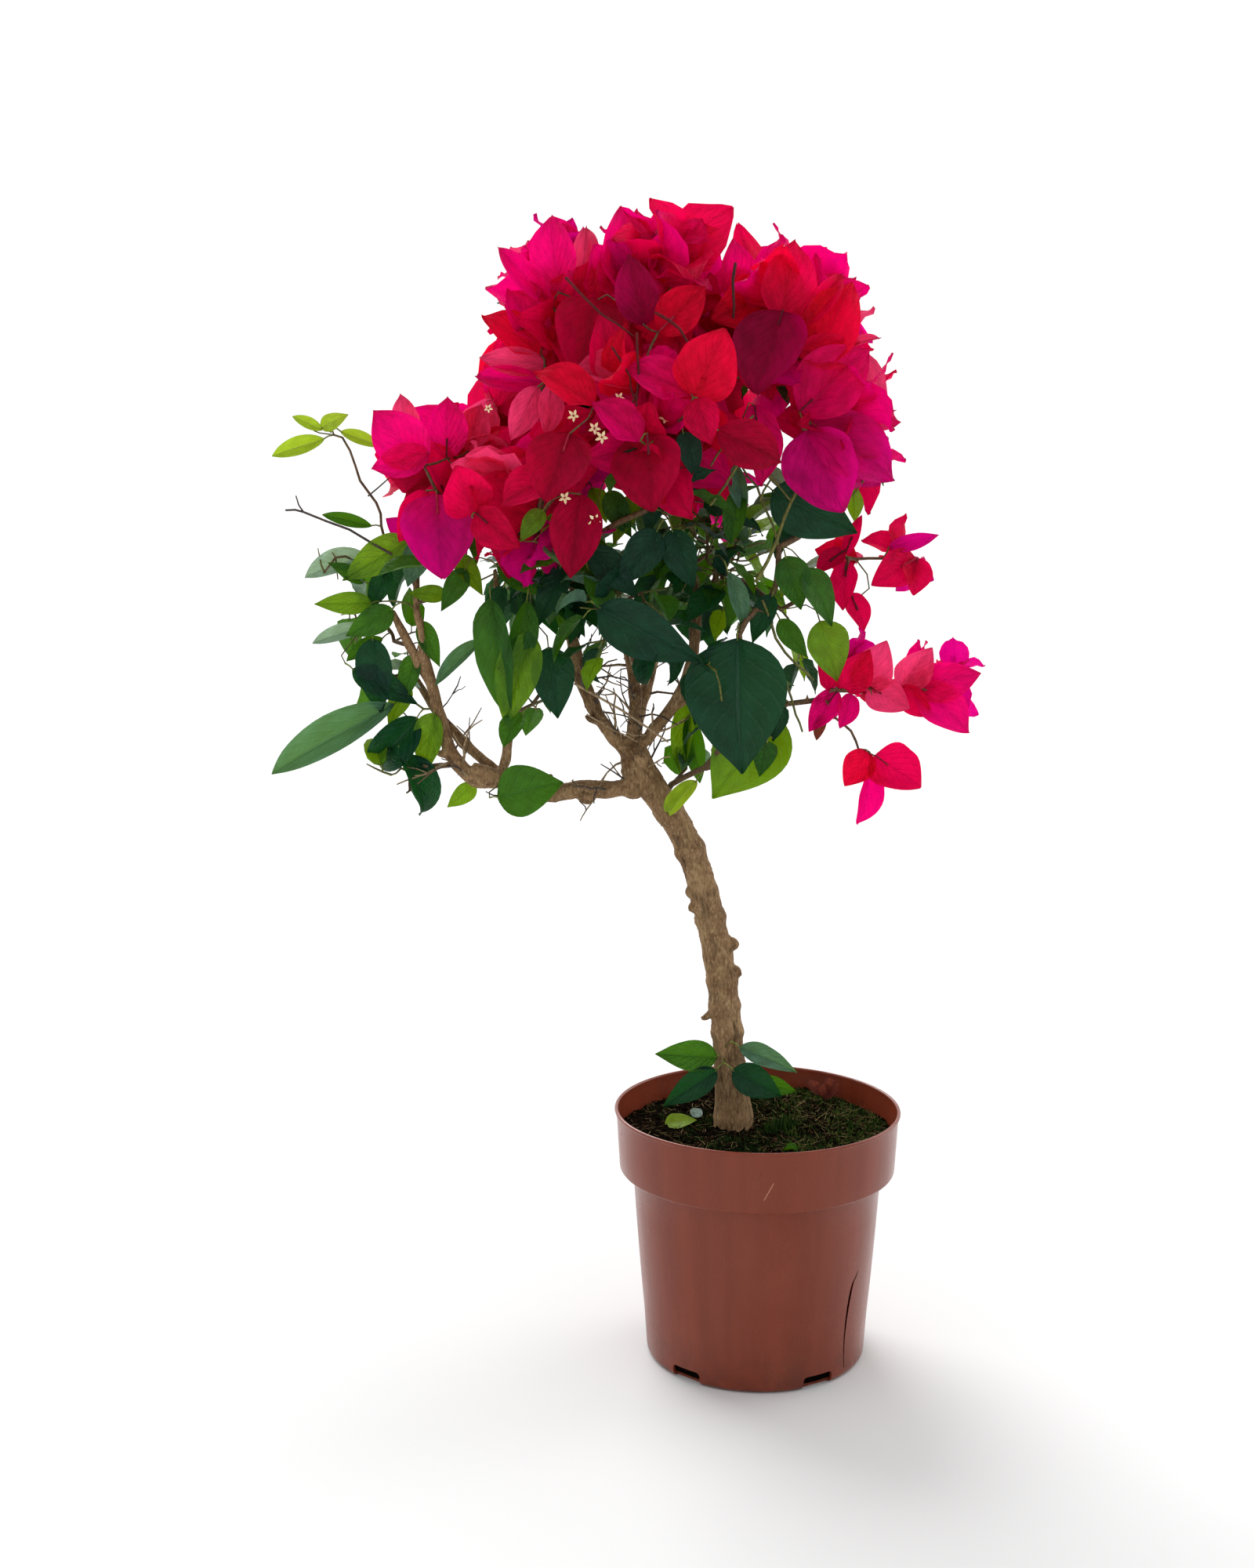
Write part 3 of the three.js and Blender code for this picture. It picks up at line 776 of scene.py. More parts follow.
# finishes: crumbs dark, brown or a chip of bark; moss dark, green or bright;
# straws pale, brown or a chip of bark
crumbs = new_heap()
for _ in range(CRUMBS):
    x, y = on_soil()
    size = chance.uniform(0.7, 2.3) * MM * (1.6 if chance.random() < 0.08 else 1)
    lay(crumbs, chance.choice(crumb_shapes), ground(x, y) + (0, 0, 0.1 * size), any_direction(),
        any_direction(), size, size * chance.uniform(0.6, 1.3), chance.choice((0, 0, 0, 1, 2)))
moss = new_heap()
tufts = 0
while tufts < TUFTS:
    x, y = on_soil(0.95)
    damp = 0.55 + 0.75 * x / SOIL_EDGE + 1.2 * noise.noise(Vector((x, y, 0)) * 38)
    if chance.random() > damp:
        continue
    tufts += 1
    tone = chance.choice((0, 1, 1, 1, 2)) if x > 15 * MM else chance.choice((0, 0, 0, 1))
    for _ in range(SHOOTS_IN_TUFT):
        turn = chance.uniform(0, 2 * math.pi)
        lean = chance.uniform(0.1, 1.1)
        spot_x = x + chance.gauss(0, 1.2) * MM
        spot_y = y + chance.gauss(0, 1.2) * MM
        if math.hypot(spot_x, spot_y) < SOIL_EDGE * 0.97:
            lay(moss, moss_shoot, ground(spot_x, spot_y) - (0, 0, 0.4 * MM),
                (math.cos(turn) * lean, math.sin(turn) * lean, 1), (math.cos(turn), math.sin(turn), 0.2),
                chance.uniform(1.6, 3.4) * MM, chance.uniform(1.3, 2.4) * MM, tone)
clump = STEM_FOOT + Vector((27, -12, 0)) * MM
for _ in range(CLUMP_SHOOTS):
    turn = chance.uniform(0, 2 * math.pi)
    spot = ground(clump.x + chance.gauss(0, 5) * MM, clump.y + chance.gauss(0, 4) * MM)
    lay(moss, moss_shoot, spot, (math.cos(turn) * 0.6, math.sin(turn) * 0.6, 1),
        (math.cos(turn), math.sin(turn), 0.2), chance.uniform(5, 12) * MM, chance.uniform(3, 5) * MM,
        chance.choice((0, 1, 1)))
straws = new_heap()
for index in range(STRAWS):
    x, y = on_soil(0.93)
    if x < 0 and chance.random() < 0.45:
        continue
    turn = chance.uniform(0, 2 * math.pi)
    length = chance.uniform(4, 12) * MM if index % 40 else chance.uniform(14, 26) * MM
    lay(straws, fibre, ground(x, y) + (0, 0, chance.uniform(0.1, 1.0) * MM),
        (math.cos(turn), math.sin(turn), chance.uniform(-0.15, 0.5)), (0, 0, 1), length,
        chance.uniform(3, 6) * MM, chance.choice((0, 0, 1, 2)))


# %% [markdown]
# ### Their finishes
# Damp peat is nearly black and doesn't shine at all, so the shader's mirror share is
# taken down to nothing: even a little of it turns dark grains grey under a pale sky.

# %% Peat, moss and straw finishes
def crumbly(name, dark, light, scale, roughness=0.9, depth=0.6 * MM):
    """A dead matt finish of two colours in grains: the larger the scale, the finer the grains."""
    material = plain_material(name, dark, roughness, gloss=0.0)
    coarse = speckle(material, scale, detail=6, roughness=0.7)
    fine = speckle(material, scale * 4, detail=3)
    feed(material, Base_Color=mix_colours(material, spread_range(material, coarse, 0.38, 0.68), dark, light),
         Roughness=spread_range(material, fine, 0.3, 0.7, roughness - 0.2, roughness),
         Normal=bump(material, fine, depth, 0.7))
    return material


peat_dark = crumbly("peat_dark", chip(8, 6, 5), chip(24, 18, 13), 380)
peat_brown = crumbly("peat_brown", chip(20, 15, 10), chip(44, 33, 23), 600)
peat_chip = crumbly("bark_chip", chip(44, 32, 22), chip(84, 64, 44), 500)
moss_dark = crumbly("moss_dark", chip(20, 36, 18), chip(40, 62, 28), 700)
moss_green = crumbly("moss_green", chip(38, 66, 28), chip(70, 98, 42), 700)
moss_bright = crumbly("moss_bright", chip(80, 104, 44), chip(122, 138, 66), 700)
straw_pale = crumbly("straw_pale", chip(156, 136, 92), chip(196, 178, 130), 500)
straw_brown = crumbly("straw_brown", chip(98, 74, 48), chip(136, 108, 70), 500)
peat_plug.data.materials.append(peat_dark)
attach(peat_plug, "root")
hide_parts("soil")
pour(crumbs, "peat_crumbs", [peat_dark, peat_brown, peat_chip], None)
pour(moss, "moss", [moss_dark, moss_green, moss_bright], None)
pour(straws, "straws", [straw_pale, straw_brown, peat_chip], None)

# %% [markdown]
# ## Stem, limbs and boughs
# The stem is old wood: tan, knobbly, ridged lengthwise, with stubs where a grower cut
# side shoots off. Each limb of the frame is measured by slicing it square to its run, as
# a sawyer would, which gives a centre line and a girth. A curve is laid along each line
# and swells at its knots, all of them become one mesh, and a voxel remesh welds the
# forks as wood grows together. Bark relief is then pressed into that skin, running
# along the limb that each point belongs to.

# %% Measure the frame's limbs
WOOD = ("trunk", "limb_left_low", "limb_left_up", "limb_left_back", "bough_left_outer",
        "bough_left_inner", "bough_left_riser", "bough_up_left", "bough_up_middle", "bough_right",
        "bough_back")
THIN = ("sprig_stem", "twig_right_upper", "twig_hanging")


def slice_rim(corners, edges, middle, along, reach):
    """Where a plane square to a limb meets its edges."""
    side = (corners - middle) @ along
    first, last = side[edges[:, 0]], side[edges[:, 1]]
    crossed = first * last < 0
    share = (first[crossed] / (first[crossed] - last[crossed]))[:, None]
    start, end = corners[edges[crossed, 0]], corners[edges[crossed, 1]]
    rim = start + (end - start) * share
    return rim[np.linalg.norm(rim - middle, axis=1) < reach]


def headings(line):
    steps = np.gradient(line, axis=0)
    return steps / np.linalg.norm(steps, axis=1)[:, None]


def measure_limb(name, slices):
    """The centre line and the radius of one of the frame's limbs, in metres."""
    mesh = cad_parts[name].data
    corners = np.array([corner.co[:] for corner in mesh.vertices])
    edges = np.array([edge.vertices[:] for edge in mesh.edges])
    centre = corners.mean(0)
    run = np.linalg.svd(corners - centre, full_matrices=False)[2][0]
    reach = (corners - centre) @ run
    stations = np.linspace(reach.min(), reach.max(), slices + 2)[1:-1]
    line = np.array([slice_rim(corners, edges, centre + run * station, run, 1).mean(0)
                     for station in stations])
    centres, radii = [], []
    for middle, along in zip(line, headings(line)):
        rim = slice_rim(corners, edges, middle, along, 18 * MM)
        if len(rim) > 3:
            centres.append(rim.mean(0))
            radii.append(np.linalg.norm(rim - rim.mean(0), axis=1).mean())
    return np.array(centres), np.array(radii)


def smooth_run(points, values, step):
    """A Catmull-Rom run through points, with values along it, at about one step apart."""
    points, values = np.asarray(points, float), np.asarray(values, float)
    ends = np.vstack([2 * points[0] - points[1], points, 2 * points[-1] - points[-2]])
    run, along = [], []
    for index in range(len(points) - 1):
        before, start, end, after = ends[index:index + 4]
        count = max(1, round(np.linalg.norm(end - start) / step))
        for share in np.arange(count) / count:
            run.append(0.5 * (2 * start + (end - before) * share
                              + (2 * before - 5 * start + 4 * end - after) * share ** 2
                              + (3 * start - before - 3 * end + after) * share ** 3))
            along.append(values[index] + (values[index + 1] - values[index]) * share)
    return np.array(run + [points[-1]]), np.array(along + [values[-1]])


limbs = {}
for name in WOOD + THIN:
    length = np.linalg.norm(np.subtract(*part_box(name)))
    line, radii = measure_limb(name, max(5, round(length / (9 * MM))))
    if name == "trunk":
        if line[0][2] > line[-1][2]:
            line, radii = line[::-1], radii[::-1]
        line = np.vstack([line[0] - (0, 0, 12 * MM), line])
        radii = np.append(radii[0] * 1.1, radii)
    elif name in WOOD:
        older = np.vstack([run for run, _ in limbs.values()])
        gaps = [np.linalg.norm(older - end, axis=1).min() for end in (line[0], line[-1])]
        if gaps[0] > gaps[1]:
            line, radii = line[::-1], radii[::-1]
        root = older[np.linalg.norm(older - line[0], axis=1).argmin()]
        line = np.vstack([root, line])
        radii = np.append(radii[0], radii)
    limbs[name] = smooth_run(line, radii, 2.5 * MM)
    print(name, "runs", round(1000 * np.linalg.norm(np.diff(limbs[name][0], axis=0), axis=1).sum()), "mm,",
          "radius", round(radii[0] / MM, 1), "to", round(radii[-1] / MM, 1))

# %% Lay the curves and weld them
KNOT_SPACING = 24 * MM
KNOT_LENGTH = 3.2 * MM
wood_curve = bpy.data.curves.new("bark", "CURVE")
wood_curve.dimensions = "3D"
wood_curve.bevel_depth = 1
wood_curve.bevel_resolution = 5
wood_curve.use_fill_caps = True


def lay_curve(line, radii):
    spline = wood_curve.splines.new("POLY")
    spline.points.add(len(line) - 1)
    for point, place, radius in zip(spline.points, line, radii):
        point.co = (*place, 1)
        point.radius = radius


def stub(limb, share, direction, length, radius, end):
    """A short side shoot, cut or budding, that stands out of a limb."""
    line, girth = limbs[limb]
    index = int(share * (len(line) - 1))
    direction = unit(direction)
    start = line[index]
    lay_curve([start, start + direction * girth[index], start + direction * (girth[index] + length * 0.6),
               start + direction * (girth[index] + length) + (0, 0, 0.15 * length)],
              [radius * 1.5, radius * 1.25, radius, end])


bark_line, bark_radius, bark_heading, bark_along, bark_age = [], [], [], [], []
wiggle = random.Random(7)
for name in WOOD:
    line, radii = limbs[name]
    steps = np.append(0, np.linalg.norm(np.diff(line, axis=0), axis=1).cumsum())
    swollen = radii * (0.92 if name == "trunk" else 0.8)
    knot = wiggle.uniform(0.3, 1.0) * KNOT_SPACING
    while knot < steps[-1]:
        swollen *= 1 + wiggle.uniform(0.08, 0.22) * np.exp(-((steps - knot) / KNOT_LENGTH) ** 2)
        knot += KNOT_SPACING * wiggle.uniform(0.6, 1.4)
    bends = np.array([[noise.noise(Vector((at * 45, 3.7 * axis, len(name)))) for axis in range(3)]
                      for at in steps])
    ease = np.minimum(1, steps / (12 * MM))[:, None] * (0.5 if name == "trunk" else 0.9) * MM
    line = line + bends * ease
    limbs[name] = (line, radii)
    if name != "trunk":
        heading = unit(line[-1] - line[-4])
        tip = [line[-1] + heading * reach * MM + (0, 0, 0.12 * reach * MM) for reach in (6, 12, 20)]
        line_out = np.vstack([line, tip])
        swollen = np.append(swollen, swollen[-1] * np.array([0.92, 0.8, 0.6]))
    else:
        line_out = line
    lay_curve(line_out, swollen)
    bark_line.append(line)
    bark_radius.append(radii)
    bark_heading.append(headings(line))
    bark_along.append(steps)
    bark_age.append(np.full(len(line), min(1.0, radii.mean() / (7 * MM))))
bark_line, bark_radius = np.vstack(bark_line), np.concatenate(bark_radius)
bark_heading, bark_along = np.vstack(bark_heading), np.concatenate(bark_along)
bark_age = np.concatenate(bark_age)
# limb, share of its run, which way, length, radius at foot and tip (millimetres)
STUBS = (
    ("trunk", 0.60, (-1, -0.3, 0.35), 3.5, 3.2, 2.0),
    ("trunk", 0.565, (-1, -0.1, 0.2), 2.5, 3.0, 2.2),
    ("trunk", 0.47, (1, -0.2, 0.25), 4, 3.4, 1.6),
    ("trunk", 0.42, (1, 0.1, -0.1), 3, 3.0, 1.8),
    ("trunk", 0.33, (-1, -0.2, -0.75), 8, 1.9, 1.2),
    ("trunk", 0.72, (0.2, 1, 0.3), 3, 3, 1.8),
    ("trunk", 0.985, (-0.25, 0.1, 1), 5, 6.4, 3.5),
    ("trunk", 0.96, (-0.9, -0.6, -0.2), 3.5, 4.6, 2.6),
    ("trunk", 0.99, (0.3, -0.9, 0.5), 5, 3.6, 2.0),
    ("limb_left_low", 0.45, (-0.1, -0.5, -0.9), 3, 4.2, 2.4),
    ("limb_left_low", 0.72, (0.1, -0.2, 1), 5, 2.4, 1.4),
    ("limb_left_up", 0.5, (-1, -0.2, 0.2), 5, 1.8, 1.0),
    ("bough_up_left", 0.35, (-0.9, -0.5, 0.3), 7, 2.0, 1.0),
    ("bough_right", 0.45, (0.9, -0.4, 0.4), 6, 1.8, 1.0),
)
for limb, share, way, length, radius, end in STUBS:
    stub(limb, share, way, length * MM, radius * MM, end * MM)
wood = bpy.data.objects.new("bark", wood_curve)
bpy.context.scene.collection.objects.link(wood)
choose(wood)
bpy.ops.object.convert(target="MESH")
wood = bpy.context.object
work_in(wood, "REMESH", mode="VOXEL", voxel_size=0.85 * MM)
work_in(wood, "SMOOTH", factor=0.6, iterations=5)
print("welded wood:", len(wood.data.polygons), "faces")

# %% Press the bark's relief
mesh = wood.data
count = len(mesh.vertices)
places = np.zeros(count * 3)
normals = np.zeros(count * 3)
mesh.vertices.foreach_get("co", places)
mesh.vertices.foreach_get("normal", normals)
places, normals = places.reshape(-1, 3), normals.reshape(-1, 3)
nearest = np.empty(count, int)
for start in range(0, count, 4000):
    gap = places[start:start + 4000, None, :] - bark_line[None]
    nearest[start:start + 4000] = ((gap ** 2).sum(2) / bark_radius[None]).argmin(1)
heading = bark_heading[nearest]
radial = places - bark_line[nearest]
forward = (radial * heading).sum(1)
radial = radial - heading * forward[:, None]
radial /= np.maximum(np.linalg.norm(radial, axis=1), 1e-6)[:, None]
along = bark_along[nearest] + forward
size = bark_radius[nearest]
relief = np.zeros(count)
for index in range(count):
    around = radial[index] * size[index]
    stretched = Vector(around / MM * 0.42) + Vector(heading[index] * along[index] / MM * 0.065)
    ridge = 1 - 2 * abs(noise.noise(stretched + Vector((0, 0, 9))))
    fine = noise.noise(Vector(around / MM * 1.15) + Vector(heading[index] * along[index] / MM * 0.22))
    lump = noise.noise(Vector(places[index] / MM * 0.13))
    wart = max(0.0, noise.noise(Vector(places[index] / MM * 0.55)) - 0.38)
    relief[index] = 0.42 * ridge + 0.22 * fine + 0.5 * lump + 1.5 * wart
old = bark_age[nearest] * np.minimum(1.2, (size / (7 * MM))) ** 0.6
places += normals * (relief * old * 0.85 * MM)[:, None]
mesh.vertices.foreach_set("co", places.ravel())
mesh.update()
depth = mesh.attributes.new("relief", "FLOAT", "POINT")
depth.data.foreach_set("value", relief)
mesh.polygons.foreach_set("use_smooth", [True] * len(mesh.polygons))
print("bark:", sum(len(face.vertices) - 2 for face in mesh.polygons), "triangles, relief",
      round(relief.min(), 2), "to", round(relief.max(), 2))

# %% [markdown]
# ### The bark's finish
# The grooves between the ridges are painted darker, as the shade that falls in them, and
# the ridges keep the bark's own colour. The relief that was pressed in is kept with each
# corner, so the colour can follow it exactly; noise alone would put dark patches on the
# ridges too. Fine flecks do the rest.

# %% Bark finish
bark = plain_material("bark", chip(136, 112, 82), 0.8, gloss=0.15)
grooves = node_of(bark.node_tree, "ShaderNodeAttribute", attribute_name="relief")
patches = speckle(bark, 75, (1, 1, 0.5), detail=5, roughness=0.65)
flecks = speckle(bark, 900, (1, 1, 0.35), detail=4, roughness=0.7)
skin = mix_colours(bark, spread_range(bark, patches, 0.38, 0.66), chip(112, 84, 56), chip(150, 122, 88))
skin = mix_colours(bark, spread_range(bark, flecks, 0.52, 0.72, 0, 0.8), skin, chip(186, 160, 122))
skin = mix_colours(bark, spread_range(bark, flecks, 0.46, 0.32, 0, 0.75), skin, chip(70, 50, 34))
# painted shade: darker where the pressed relief sinks into a groove
painted_groove_shade = spread_range(bark, grooves.outputs["Fac"], 0.18, -0.45, 0, 0.85)
skin = mix_colours(bark, painted_groove_shade, skin, chip(54, 38, 26))
feed(bark, Base_Color=skin, Roughness=spread_range(bark, patches, 0.3, 0.7, 0.68, 0.9),
     Normal=bump(bark, flecks, 0.35 * MM, 0.8))
mesh.materials.clear()
mesh.materials.append(bark)
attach(wood, "root")
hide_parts(*WOOD)

# %% [markdown]
# ## Blades: bracts and leaves
# The showy part of a bougainvillea isn't a petal but a bract, a papery leaf round three
# small tube flowers. Bract and leaf are the same kind of shape: a flat outline that
# widens and narrows, folds a little along its rib, arches and waves at its edge. A few
# of each are modelled from a flat grid, row by row, and every bract and leaf on the
# plant is one of these few, sized and turned. Blades that a visitor looks straight at
# use a copy with one more subdivision.

# %% Outlines
BRACT = [(0, 0.05), (0.04, 0.42), (0.14, 0.72), (0.30, 0.92), (0.47, 0.98), (0.64, 0.84),
         (0.79, 0.54), (0.91, 0.24), (1, 0.02)]
BRACT_ROUND = [(0, 0.05), (0.03, 0.56), (0.12, 0.86), (0.28, 1.0), (0.46, 1.0), (0.64, 0.88),
               (0.80, 0.62), (0.92, 0.32), (1, 0.03)]
LEAF = [(0, 0.03), (0.05, 0.48), (0.16, 0.84), (0.31, 1.0), (0.47, 0.96), (0.63, 0.76),
        (0.78, 0.48), (0.90, 0.20), (1, 0.015)]
LANCE = [(0, 0.03), (0.06, 0.40), (0.18, 0.76), (0.34, 0.98), (0.50, 1.0), (0.66, 0.82),
         (0.80, 0.54), (0.91, 0.26), (1, 0.02)]

# outline, arch, fold, curl, wave and width of the pale rib, as model_blade() takes them
blade_recipes = {
    "cupped": (BRACT, (-6, -5, -3, 2, 5, 8, 8), 14, 12, 0.09, 0.0),
    "pointed": (BRACT, (-3, -2, 2, 5, 8, 8, 6), 30, 14, 0.08, 0.0),
    "round": (BRACT_ROUND, (-8, -7, -5, -3, 0, 4, 8), 8, 16, 0.12, 0.0),
    "flared": (BRACT, (-4, 0, 4, 7, 9, 10, 10), 10, -8, 0.12, 0.0),
    "broad": (LEAF, (-2, 1, 3, 4, 5, 6, 7), 12, -6, 0.05, 0.013),
    "lance": (LANCE, (1, 2, 3, 4, 5, 5, 6), 18, 0, 0.04, 0.018),
    "curled": (LEAF, (4, 9, 12, 12, 10, 12, 14), 24, 16, 0.10, 0.014),
}
blades, fine_blades = {}, {}
for name, (outline, arch, fold, curl, wave, rib) in blade_recipes.items():
    for store, smooth in ((blades, False), (fine_blades, True)):
        store[name] = model_blade(name, outline, arch, fold, curl, wave, columns=8 if rib else 6,
                                  rib=rib, smooth=smooth)
    lifts = blades[name]["corners"][:, 2]
    print(name, "has", len(blades[name]["faces"]), "faces, lift", lifts.min().round(2), lifts.max().round(2))
BRACT_KINDS = ("cupped", "cupped", "round", "pointed", "flared")

# %% [markdown]
# ### The true flowers
# Each bract carries one small tube, narrow, with a waist and a swollen throat, and a few
# of the tubes are open in a cream star of five lobes. The tube is extruded station by
# station from a ring of six, which is enough at its size, and the star is a disc whose
# edge is drawn in and out.

# %% The flower: tube and star
def model_tube():
    """A flower tube of length 1 along +Y: narrow, a waist, then a swollen throat."""
    deselect()
    bpy.ops.mesh.primitive_circle_add(vertices=6, radius=0.05, rotation=(math.pi / 2, 0, 0))
    tube = bpy.context.object
    tube.name = "tube"
    settle()
    bpy.ops.object.mode_set(mode="EDIT")
    pick_all()
    stations = [(0.0, 0.05), (0.25, 0.075), (0.55, 0.055), (0.85, 0.09), (1.0, 0.075), (1.0, 0.02)]
    for (start, old), (end, new) in zip(stations, stations[1:]):
        bpy.ops.mesh.extrude_region_move(TRANSFORM_OT_translate={"value": (0, end - start, 0)})
        bpy.ops.transform.resize(value=(new / old, 1, new / old), center_override=(0, end, 0))
    end_edit()
    return take_shape(tube)


def model_star():
    """The open flower: five lobes round a sunken eye."""
    deselect()
    bpy.ops.mesh.primitive_circle_add(vertices=20, radius=0.5, fill_type="TRIFAN")
    star = bpy.context.object
    star.name = "star"
    for corner in star.data.vertices:
        radius = corner.co.length
        if radius > 0.1:
            turn = math.atan2(corner.co.y, corner.co.x)
            corner.co *= 0.68 + 0.32 * math.cos(5 * turn)
            corner.co.z = 0.10 * math.cos(5 * turn) + 0.04 * noise.noise(corner.co * 5)
        else:
            corner.co.z = -0.10
    return take_shape(star)


tube_shape, star_shape = model_tube(), model_star()
print("tube:", len(tube_shape["faces"]), "faces, star:", len(star_shape["faces"]), "faces")

# %% [markdown]
# ## Where the blooms and leaves go
# The frame's masses say where the crown is full. Blooms sit just under the skin of the
# blossom masses and look outwards and up, because a bract opens to the light; leaves
# come in short alternate sprays from the leaf masses below. First come the blades that a
# visitor sees from the front, each listed in its own mass: how far across and up it
# shows over the stem, and how deep it lies, which seen() turns into a place. Then seeded
# points at an even spacing fill what is left, on every side, and where two masses touch,
# the hidden skin between them is skipped.

# %% The masses and their skins
masses = {}
for name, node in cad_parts.items():
    if name.startswith(("blossom_", "leaves_")):
        low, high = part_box(name)
        corners = [corner.co.copy() for corner in node.data.vertices]
        faces = [tuple(face.vertices) for face in node.data.polygons]
        masses[name] = {"low": np.array(low), "high": np.array(high), "middle": (np.array(low) + high) / 2,
                        "corners": np.array(corners), "faces": np.array(faces),
                        "tree": BVHTree.FromPolygons(corners, faces)}


def inside(name, place):
    """Whether a place lies in a mass: behind the skin that is nearest to it."""
    mass = masses[name]
    if (place < mass["low"]).any() or (place > mass["high"]).any():
        return False
    skin, normal, _, _ = mass["tree"].find_nearest(Vector(place))
    return (Vector(place) - skin).dot(normal) < 0


def skin_points(name, spacing, tries=900):
    """Even, seeded points on the open skin of a mass, with the way they face."""
    mass = masses[name]
    first, second, third = (mass["corners"][mass["faces"][:, side]] for side in range(3))
    crossed = np.cross(second - first, third - first)
    area = np.linalg.norm(crossed, axis=1)
    others = [other for other in masses if other != name]
    kept = []
    for face in chance.choices(range(len(area)), weights=area.tolist(), k=tries):
        share, rest = chance.random(), chance.random()
        if share + rest > 1:
            share, rest = 1 - share, 1 - rest
        place = first[face] + (second[face] - first[face]) * share + (third[face] - first[face]) * rest
        normal = crossed[face] / area[face]
        if any(np.linalg.norm(place - old) < spacing for old, _ in kept):
            continue
        if any(inside(other, place + normal * 9 * MM) for other in others):
            continue
        kept.append((place, normal))
    return kept


def seen(across, depth, up):
    """A place picked from the front, in metres.

    across and up say where it shows over the stem, and depth how far behind or before
    the stem it lies, all in millimetres.
    """
    eye = np.array(camera.location)
    return eye + (np.array([across, 0, up]) * MM - eye) * (1 - depth * MM / eye[1])


# %% [markdown]
# ### Windows of sky
# A real crown has gaps that one sees right through, and nicks in its outline. They could
# be cut out of the masses, but a gap is only there from where one stands, so each is an
# oval seen from the front, and nothing that the seeded rules deal out may cover it.

# %% Windows of sky
# over the stem: across and up to the middle, half width and half height, in millimetres
WINDOWS = ((-168, 573, 9, 10), (92, 545, 12, 30), (68, 642, 12, 14), (-147, 674, 14, 12),
           (-163, 634, 9, 14), (88, 582, 10, 18), (-234, 498, 16, 24), (-236, 330, 26, 16),
           (6, 326, 20, 18), (17, 531, 15, 15), (-3, 562, 6, 7), (-186, 594, 26, 24),
           (-172, 384, 15, 26), (-112, 368, 24, 15), (-207, 446, 6, 9), (-62, 402, 9, 10),
           (32, 366, 16, 18), (86, 442, 16, 10))


def shows_sky(*places):
    """Whether something here would cover one of the gaps that stay open."""
    for place in places:
        share = -camera.location.y / (place[1] - camera.location.y)
        across = (camera.location.x + (place[0] - camera.location.x) * share) / MM
        up = (camera.location.z + (place[2] - camera.location.z) * share) / MM
        for middle, height, wide, tall in WINDOWS:
            if ((across - middle) / wide) ** 2 + ((up - height) / tall) ** 2 < 1:
                return True
    return False
